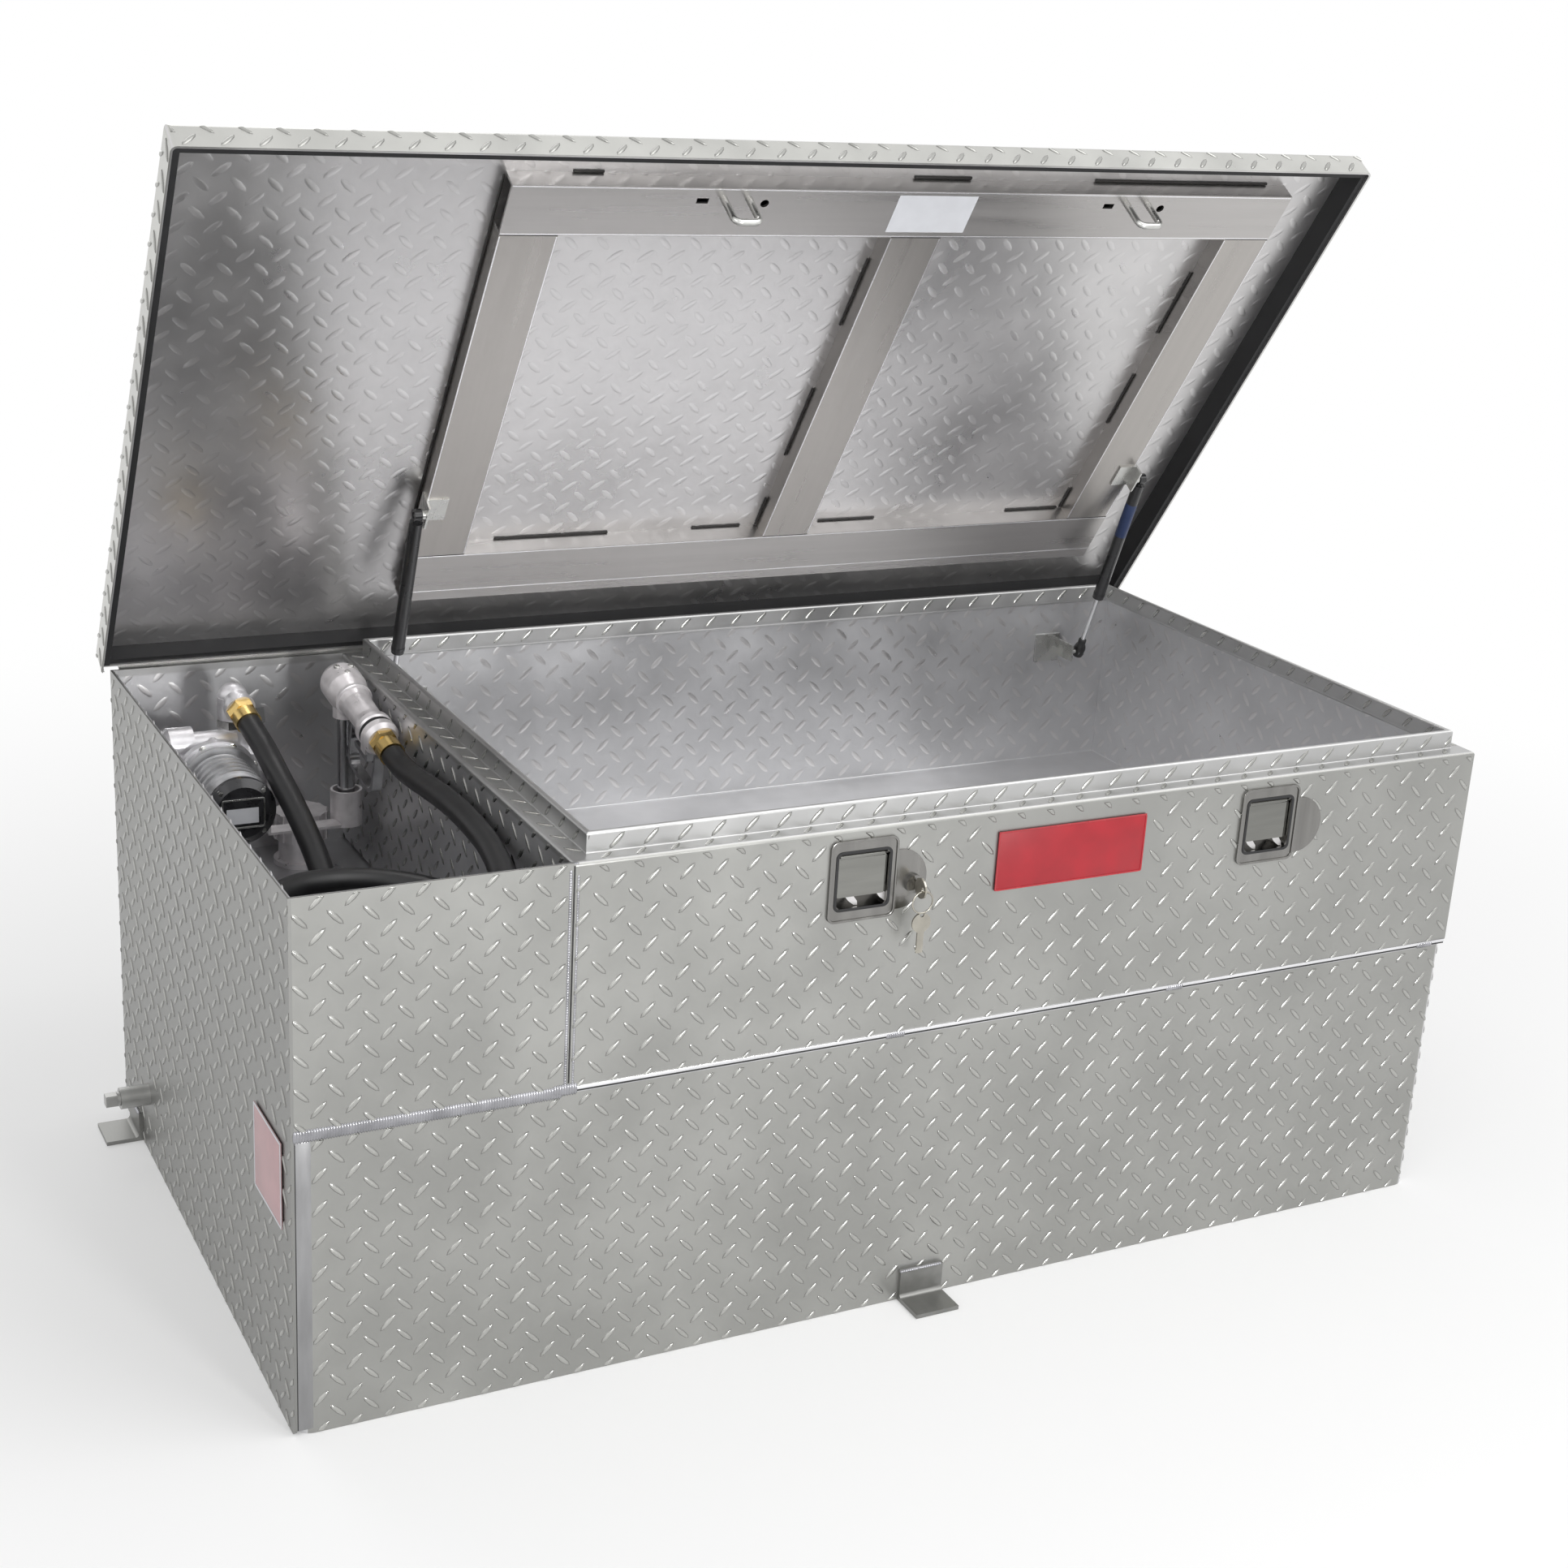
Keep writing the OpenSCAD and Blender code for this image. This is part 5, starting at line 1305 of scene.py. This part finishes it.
@dataclass
class PumpTrim:
    """Bolts, collars and the blank plate on the pump.

    Attributes:
        x: The pump's axis from the left face.
        z: Its height.
        flange: Front face of the body's flange.
        cover: Front face of the motor cover's raised plate.
    """

    x: float = 87.0
    z: float = 474.0
    flange: float = 602.0
    cover: float = 491.4

    def bolts(self, name: str, y: float, reach: float, count: int, first: float, across: float) -> bpy.types.Object:
        """Sets hexagon heads in a ring round the pump's axis.

        Args:
            name: The piece's name.
            y: Face that they sit on.
            reach: Radius of the ring.
            count: Number of bolts.
            first: Angle of the first, in degrees.
            across: Radius of a head.

        Returns:
            The bolts, joined.
        """
        heads = []
        for i in range(count):
            a = math.radians(first + 360 * i / count)
            foot = (self.x + reach * math.cos(a), y + 0.4, self.z + reach * math.sin(a))
            head = Bench.turned(
                "head", foot, (0, -1, 0),
                ((across * 0.98, 0.0), (across, 0.5), (across, 3.6), (across * 0.82, 4.6), (across * 0.5, 4.7)),
                6, 17.0 * i,
            )
            washer = Bench.turned("washer", foot, (0, -1, 0), ((across * 1.3, 0.0), (across * 1.3, 1.0), (across * 1.2, 1.2)), 20)
            heads += [head, washer]
        return Bench.join(name, heads)

    def build(self) -> None:
        """Builds the pump's trim."""
        ring = self.bolts("pump_flange_bolts", self.flange, 44.6, 8, 22.5, 3.6)
        Bench.finish(ring, Finishes.ZINC, "tank", "zinc_steel")
        ring = self.bolts("motor_cover_bolts", 498.4, 33.5, 4, 45.0, 3.0)
        Bench.finish(ring, Finishes.ZINC, "tank", "zinc_steel")
        front = facing((1, 0, 0), (0, 0, 1), place(self.x, self.cover, self.z))
        frame_ring = Bench.ring("motor_plate_rim", (49, 35), 3.0, 2.0, 0.8, front, 0.3)
        Bench.finish(frame_ring, Finishes.ZINC, "tank", "zinc_steel")
        label = Bench.block(
            "blank_motor_label", (self.x - 19, self.cover - 0.4, self.z - 12), (self.x + 17, self.cover, self.z + 6), 0.1, 1
        )
        Bench.finish(label, Finishes.WHITE, "tank")
        for name, foot, rings in (
            ("riser_collar", (118, 653, 498), ((16.2, 0), (17, 0.8), (17, 6), (16.2, 7), (13.4, 7.4))),
            ("filler_cap_ring", (208, 692, 383), ((30.4, 0), (31.2, 0.6), (31.2, 4), (30.4, 4.6), (27, 4.8))),
        ):
            collar = Bench.turned(name, foot, (0, 0, 1), rings, 40)
            Bench.finish(collar, Finishes.CAST, "tank", "cast_grey")


@dataclass
class NozzleTrim:
    """Rings and screws on the nozzle.

    Attributes:
        head: Middle of the nozzle's head.
        turn: Its turn to the right, in degrees.
        tilt: Its dip, in degrees.
    """

    head: Point = (250.0, 650.0, 562.0)
    turn: float = 3.6
    tilt: float = 13.4

    def build(self) -> None:
        """Builds the nozzle's trim."""
        way = Hose.way(self.turn, self.tilt)
        over = Vector((1.0, 0.0, 0.0)).cross(way).normalized()
        over = over if over.z > 0 else -over
        rings = (
            ("nozzle_front_ring", 95.5, ((19.2, 0), (20.6, 0.7), (20.6, 2.6), (19.2, 3.3)), Finishes.SEAL, "seal_rubber"),
            ("nozzle_rear_ring", 107.6, ((20.0, 0), (21.0, 0.7), (21.0, 4.4), (20.0, 5.1)), Finishes.SEAL, "seal_rubber"),
            ("nozzle_collar", 31.0, ((20.8, 0), (22.4, 1.0), (22.4, 5.0), (20.6, 6.0)), Finishes.NOZZLE, "cast_grey"),
        )
        for name, start, profile, finish, slot in rings:
            foot = Vector(self.head) + start * way
            Bench.finish(Bench.turned(name, foot, way, profile, 40), finish, "tank", slot)
        screws = []
        for along, aside in ((-6.0, -8.0), (-6.0, 9.0), (8.0, 0.0)):
            foot = Vector(self.head) + along * way + aside * Vector((1, 0, 0)) + 23.2 * over
            screws.append(
                Bench.turned("screw", foot, over, ((3.4, -2.0), (3.6, -1.0), (3.6, 1.6), (3.0, 2.3), (1.6, 2.4), (1.5, 1.0)), 16)
            )
        Bench.finish(Bench.join("nozzle_screws", screws), Finishes.ZINC, "tank", "zinc_steel")


@dataclass
class Hose:
    """The one continuous hose from the pump, round the coil and up to the nozzle.

    Attributes:
        diameter: Outer diameter.
        centre: Middle of the coil.
        radius: Radius of the coil at the middle of the hose.
        entry: Angle at which the hose enters the coil.
        leave: Angle at which it leaves the coil.
        turns: Full turns between the two.
    """

    diameter: float = 27.0
    centre: tuple[float, float] = (141.0, 150.0)
    radius: float = 108.0
    entry: float = 150.0
    leave: float = -60.0
    turns: int = 3
    low: float = 343.8
    pitch: float = 27.3
    fitting: Point = (118.0, 653.0, 560.0)
    head: Point = (250.0, 650.0, 562.0)

    @staticmethod
    def way(turn: float, tilt: float) -> Vector:
        """Gives the way of a fitting that points forwards, turned and tilted down."""
        a, b = math.radians(turn), math.radians(tilt)
        return Vector((math.sin(a) * math.cos(b), -math.cos(a) * math.cos(b), -math.sin(b)))

    def on_coil(self, angle: float, radius: float, z: float) -> Vector:
        """Gives a point round the coil's axis."""
        a = math.radians(angle)
        return Vector((self.centre[0] + radius * math.cos(a), self.centre[1] + radius * math.sin(a), z))

    def pump_route(self) -> list[Vector]:
        """Runs from the pump's fitting down behind the coil and into its lowest turn.

        Returns:
            The chosen points, in millimetres.
        """
        way = self.way(8, 22)
        mouth = Vector(self.fitting) + 51 * way
        a = math.radians(self.entry)
        inward = Vector((-math.sin(a), math.cos(a), 0))
        entry = self.on_coil(self.entry, self.radius, self.low)
        chosen = (
            (132, 520, 510), (137, 485, 491), (142, 450, 470), (146, 415, 447), (147, 385, 426),
            (141, 355, 407), (129, 326, 389), (111, 298, 371), (86, 277, 355.5), (69, 247, 344.4),
        )
        return [
            mouth, mouth + 22 * way, mouth + 50 * way, *(Vector(p) for p in chosen),
            entry - 28 * inward + Vector((-3, 4, 0.2)), entry - 6 * inward, entry,
        ]

    def nozzle_route(self) -> list[Vector]:
        """Runs from the nozzle along the toolbox, round the loose turn and onto the coil.

        Returns:
            The chosen points, in millimetres.
        """
        way = self.way(3.6, 13.4)
        mouth = Vector(self.head) + 160 * way
        z = mouth.z
        top = self.top()
        a = math.radians(self.leave)
        away = Vector((math.sin(a), -math.cos(a), 0))
        route = [mouth, mouth + 6 * way, mouth + 34 * way + Vector((0, 0, 2))]
        for x, y, lift in (
            (262.5, 420, -4), (263, 375, 0), (263.5, 325, 4), (264, 275, 5), (264, 225, 3), (263, 180, -2)
        ):
            route.append(Vector((x, y, z + lift)))
        for i in range(1, 19):
            angle = -20 * i
            late = max(0, i - 12)
            radius = 119 + (self.radius - 119) * late / 9
            point = self.on_coil(angle, radius, 0)
            dip = 28 * math.sin(math.radians(min(angle, -20) / -4))
            route.append(
                Vector((point.x + 1, point.y + (8 - 2 * i if i < 4 else 0), z - 8 - dip - 1.2 * i - 2.2 * late))
            )
        join = self.on_coil(self.leave, self.radius, top)
        return [
            *route, self.on_coil(-20, 111, top + 9), self.on_coil(-40, 109, top + 3), join - 6 * away, join
        ]

    def top(self) -> float:
        """Gives the height of the coil's last turn where the hose leaves it."""
        return self.low + self.pitch * (self.turns + (self.leave + 360 - self.entry) / 360)

    def coil(self) -> list[Vector]:
        """Winds the turns of the coil, seen from above against the clock.

        Returns:
            The points between the entry and the end of the last turn.
        """
        sweep = self.turns * 360 + self.leave + 360 - self.entry
        steps = int(sweep / 15)
        return [
            self.on_coil(self.entry + sweep * i / steps, self.radius, self.low + self.pitch * sweep * i / steps / 360)
            for i in range(1, steps)
        ]

    @staticmethod
    def smooth(points: Sequence[Vector], parts: int) -> list[Vector]:
        """Adds points on a smooth line through the chosen ones.

        Args:
            points: The chosen points.
            parts: Stretches between two of them.

        Returns:
            The finer line.
        """
        fine = []
        last = len(points) - 1
        for i in range(last):
            a, b, c, d = points[max(i - 1, 0)], points[i], points[i + 1], points[min(i + 2, last)]
            for k in range(parts):
                t = k / parts
                fine.append(
                    0.5 * (2 * b + (c - a) * t + (2 * a - 5 * b + 4 * c - d) * t * t
                           + (3 * b - a - 3 * c + d) * t ** 3)
                )
        fine.append(points[last])
        return fine

    def build(self) -> None:
        line = [*self.smooth(self.pump_route(), 3), *self.coil(), *reversed(self.smooth(self.nozzle_route(), 3))]
        path = [place(*point) for point in line]
        curve = bpy.data.curves.new("hose", "CURVE")
        curve.dimensions = "3D"
        curve.bevel_depth = self.diameter / 2 * MM
        curve.bevel_resolution = 6
        curve.use_fill_caps = True
        spline = curve.splines.new("POLY")
        spline.points.add(len(path) - 1)
        for knot, point in zip(spline.points, path):
            knot.co = (*point, 1.0)
        obj = bpy.data.objects.new("hose", curve)
        bpy.context.collection.objects.link(obj)
        Bench.pick(obj)
        bpy.ops.object.convert(target="MESH")
        hose = bpy.context.active_object
        Bench.finish(hose, Finishes.HOSE, "tank", "hose_rubber", smooth=60.0)
        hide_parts("hose_pump_end", "hose_coil", "hose_nozzle_end")


class Dresser:
    """Gives each CAD node its finish."""

    PLAN = {
        Finishes.PLATE: ("tank_shell", "bay_front_panel", "bay_rear_panel", "toolbox_shell"),
        Finishes.END_PLATE_IN_PAINTED_SHADE: ("left_end_plate",),
        Finishes.LID: ("lid_skin",),
        Finishes.TOP_PLATE: ("tank_top_plate", "tank_baffles"),
        Finishes.TAB: ("mounting_tabs", "hinge_leaf_box", "hinge_leaf_lid"),
        Finishes.FITTING: ("drain_coupling", "drain_plug"),
        Finishes.CHANNEL: ("lid_front_rail", "lid_rear_rail"),
        Finishes.STILE: ("lid_left_stile", "lid_middle_stile", "lid_right_stile"),
        Finishes.SEAL: ("lid_seal",),
        Finishes.ZINC: (
            "lid_strikers", "latch_jaw_left", "latch_jaw_right",
            "strut_lid_brackets", "strut_box_brackets", "outlet_union",
        ),
        Finishes.STAINLESS: (
            "latch_pan_left", "latch_pan_right", "hinge_pin", "lock_plug",
        ),
        Finishes.PADDLE: ("latch_paddle_left", "latch_paddle_right"),
        Finishes.KEY: ("lock_key", "spare_key_on_ring"),
        Finishes.BLACK_PAINT: ("strut_tube_left", "strut_tube_right"),
        Finishes.CHROME: ("strut_rod_left", "strut_rod_right"),
        Finishes.CAST: ("tank_bung", "pump_body", "pump_vanes", "outlet_elbow"),
        Finishes.MOTOR: ("pump_motor", "pump_rotor"),
        Finishes.COVER: ("pump_motor_cover",),
        Finishes.BRASS: ("hose_fitting", "nozzle_swivel"),
        Finishes.PLASTIC: ("pump_switch_lever",),
        Finishes.SPOUT: ("suction_tube", "nozzle_spout", "nozzle_lever", "nozzle_guard"),
        Finishes.NOZZLE: ("nozzle_body", "filler_neck", "filler_cap", "nozzle_holder"),
        Finishes.HOSE: ("hose_pump_end", "hose_coil", "hose_nozzle_end"),
    }

    def dress(self) -> None:
        """Puts the materials on the nodes and reports any that is left over."""
        left = set(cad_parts)
        for finish, names in self.PLAN.items():
            for name in names:
                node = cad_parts.get(name)
                if node is None:
                    LOG.warning("no CAD node %s", name)
                    continue
                node.data.materials.clear()
                node.data.materials.append(finish.material())
                left.discard(name)
        if left:
            LOG.warning("nodes without a finish: %s", ", ".join(sorted(left)))


@dataclass
class Studio:
    """The floor, the light and the camera.

    Attributes:
        eye: Where the camera stands, in metres.
        heading: Its turn from the tank's depth to the right, in degrees.
        dip: How far it looks down, in degrees.
        roll: Its roll, in degrees.
        lens: Focal length on a 36 mm wide frame.
    """

    eye: Point = (-1.2401, -2.3018, 1.3801)
    heading: float = 28.19
    dip: float = 18.99
    roll: float = 3.474
    lens: float = 53.32

    def camera(self) -> None:
        """Stands the camera where the photograph was taken."""
        a, e, r = (math.radians(v) for v in (self.heading, self.dip, self.roll))
        ahead = Vector((math.sin(a) * math.cos(e), math.cos(a) * math.cos(e), -math.sin(e)))
        side = ahead.cross(Vector((0, 0, 1))).normalized()
        over = side.cross(ahead)
        right = math.cos(r) * side + math.sin(r) * over
        up = -math.sin(r) * side + math.cos(r) * over
        data = bpy.data.cameras.new("camera")
        data.lens = self.lens
        data.sensor_width = 36.0
        data.clip_end = 60.0
        camera = bpy.data.objects.new("camera", data)
        turn = Matrix((right, up, -ahead)).transposed().to_4x4()
        camera.matrix_world = Matrix.Translation(self.eye) @ turn
        bpy.context.collection.objects.link(camera)
        bpy.context.scene.camera = camera

    def world(self) -> None:
        """Lights softly all round, and shows white to the camera and in metal."""
        world = bpy.data.worlds.new("studio")
        world.use_nodes = True
        tree = world.node_tree
        tree.nodes.clear()
        out = tree.nodes.new("ShaderNodeOutputWorld")
        glow = tree.nodes.new("ShaderNodeBackground")
        glow.inputs["Color"].default_value = (1.0, 1.0, 1.0, 1.0)
        paths = tree.nodes.new("ShaderNodeLightPath")
        seen = tree.nodes.new("ShaderNodeMath")
        seen.operation = "MAXIMUM"
        mirrored = tree.nodes.new("ShaderNodeMath")
        mirrored.operation = "MAXIMUM"
        level = tree.nodes.new("ShaderNodeMapRange")
        level.inputs["To Min"].default_value = 0.62
        level.inputs["To Max"].default_value = 1.0
        tree.links.new(paths.outputs["Is Camera Ray"], seen.inputs[0])
        tree.links.new(paths.outputs["Is Glossy Ray"], seen.inputs[1])
        tree.links.new(seen.outputs[0], mirrored.inputs[0])
        tree.links.new(paths.outputs["Is Transmission Ray"], mirrored.inputs[1])
        tree.links.new(mirrored.outputs[0], level.inputs["Value"])
        tree.links.new(level.outputs["Result"], glow.inputs["Strength"])
        tree.links.new(glow.outputs["Background"], out.inputs["Surface"])
        bpy.context.scene.world = world

    def lamp(self, name: str, where: Point, size: float, power: float) -> None:
        """Hangs a square soft lamp that faces the tank.

        Args:
            name: The lamp's name.
            where: Its place, in metres.
            size: Its width, in metres.
            power: Its power, in watts.
        """
        data = bpy.data.lights.new(name, "AREA")
        data.shape = "SQUARE"
        data.size = size
        data.energy = power
        lamp = bpy.data.objects.new(name, data)
        aim = (Vector((0.0, 0.0, 0.35)) - Vector(where)).to_track_quat("-Z", "Y")
        lamp.matrix_world = Matrix.Translation(where) @ aim.to_matrix().to_4x4()
        bpy.context.collection.objects.link(lamp)

    def floor(self) -> None:
        """Lays the pale floor."""
        Bench.clear()
        bpy.ops.mesh.primitive_plane_add(size=40.0, location=(0.0, 0.0, -0.0004))
        floor = Bench.named("floor")
        Bench.edit(floor)
        bpy.ops.mesh.subdivide(number_cuts=3)
        bpy.ops.object.mode_set(mode="OBJECT")
        Bench.settle(floor)
        material = bpy.data.materials.new("pale floor")
        material.use_nodes = True
        tree = material.node_tree
        tree.nodes.clear()
        out = tree.nodes.new("ShaderNodeOutputMaterial")
        matt = tree.nodes.new("ShaderNodeBsdfDiffuse")
        matt.inputs["Color"].default_value = (0.9, 0.9, 0.9, 1.0)
        white = tree.nodes.new("ShaderNodeEmission")
        coords = tree.nodes.new("ShaderNodeTexCoord")
        reach = tree.nodes.new("ShaderNodeVectorMath")
        reach.operation = "LENGTH"
        far = tree.nodes.new("ShaderNodeMapRange")
        far.interpolation_type = "SMOOTHSTEP"
        far.inputs["From Min"].default_value = 0.9
        far.inputs["From Max"].default_value = 2.6
        far.inputs["To Min"].default_value = 0.25
        paths = tree.nodes.new("ShaderNodeLightPath")
        seen = tree.nodes.new("ShaderNodeMath")
        seen.operation = "MAXIMUM"
        share = tree.nodes.new("ShaderNodeMath")
        share.operation = "MULTIPLY"
        mix = tree.nodes.new("ShaderNodeMixShader")
        tree.links.new(coords.outputs["Object"], reach.inputs[0])
        tree.links.new(reach.outputs["Value"], far.inputs["Value"])
        tree.links.new(paths.outputs["Is Camera Ray"], seen.inputs[0])
        tree.links.new(paths.outputs["Is Glossy Ray"], seen.inputs[1])
        tree.links.new(far.outputs["Result"], share.inputs[0])
        tree.links.new(seen.outputs[0], share.inputs[1])
        tree.links.new(share.outputs[0], mix.inputs["Fac"])
        tree.links.new(matt.outputs["BSDF"], mix.inputs[1])
        tree.links.new(white.outputs["Emission"], mix.inputs[2])
        tree.links.new(mix.outputs["Shader"], out.inputs["Surface"])
        floor.data.materials.append(material)

    def build(self) -> None:
        """Sets up the studio."""
        self.camera()
        self.world()
        self.lamp("key", (1.6, -1.8, 3.2), 3.0, 52.0)
        self.lamp("front", (0.1, -3.3, 0.85), 0.42, 36.0)
        self.lamp("fill", (-2.6, -2.4, 2.0), 2.0, 18.0)
        self.lamp("rim", (-0.6, 2.8, 2.6), 3.0, 26.0)
        self.floor()
        bpy.context.scene.view_settings.view_transform = "Standard"


def main() -> None:
    """Builds the sub-assemblies in order."""
    logging.basicConfig(level=logging.INFO, format="%(relativeCreated)7.0f %(message)s")
    Dresser().dress()
    Tank().build()
    Lid().build()
    for side, x in (("left", 600.0), ("right", 1123.0)):
        Latch(side, x).build()
    for side, x in (("left", 330.0), ("right", 1357.0)):
        Strut(side, x).build()
    PumpTrim().build()
    NozzleTrim().build()
    Hose().build()
    Studio().build()


if __name__ == "__main__":
    main()
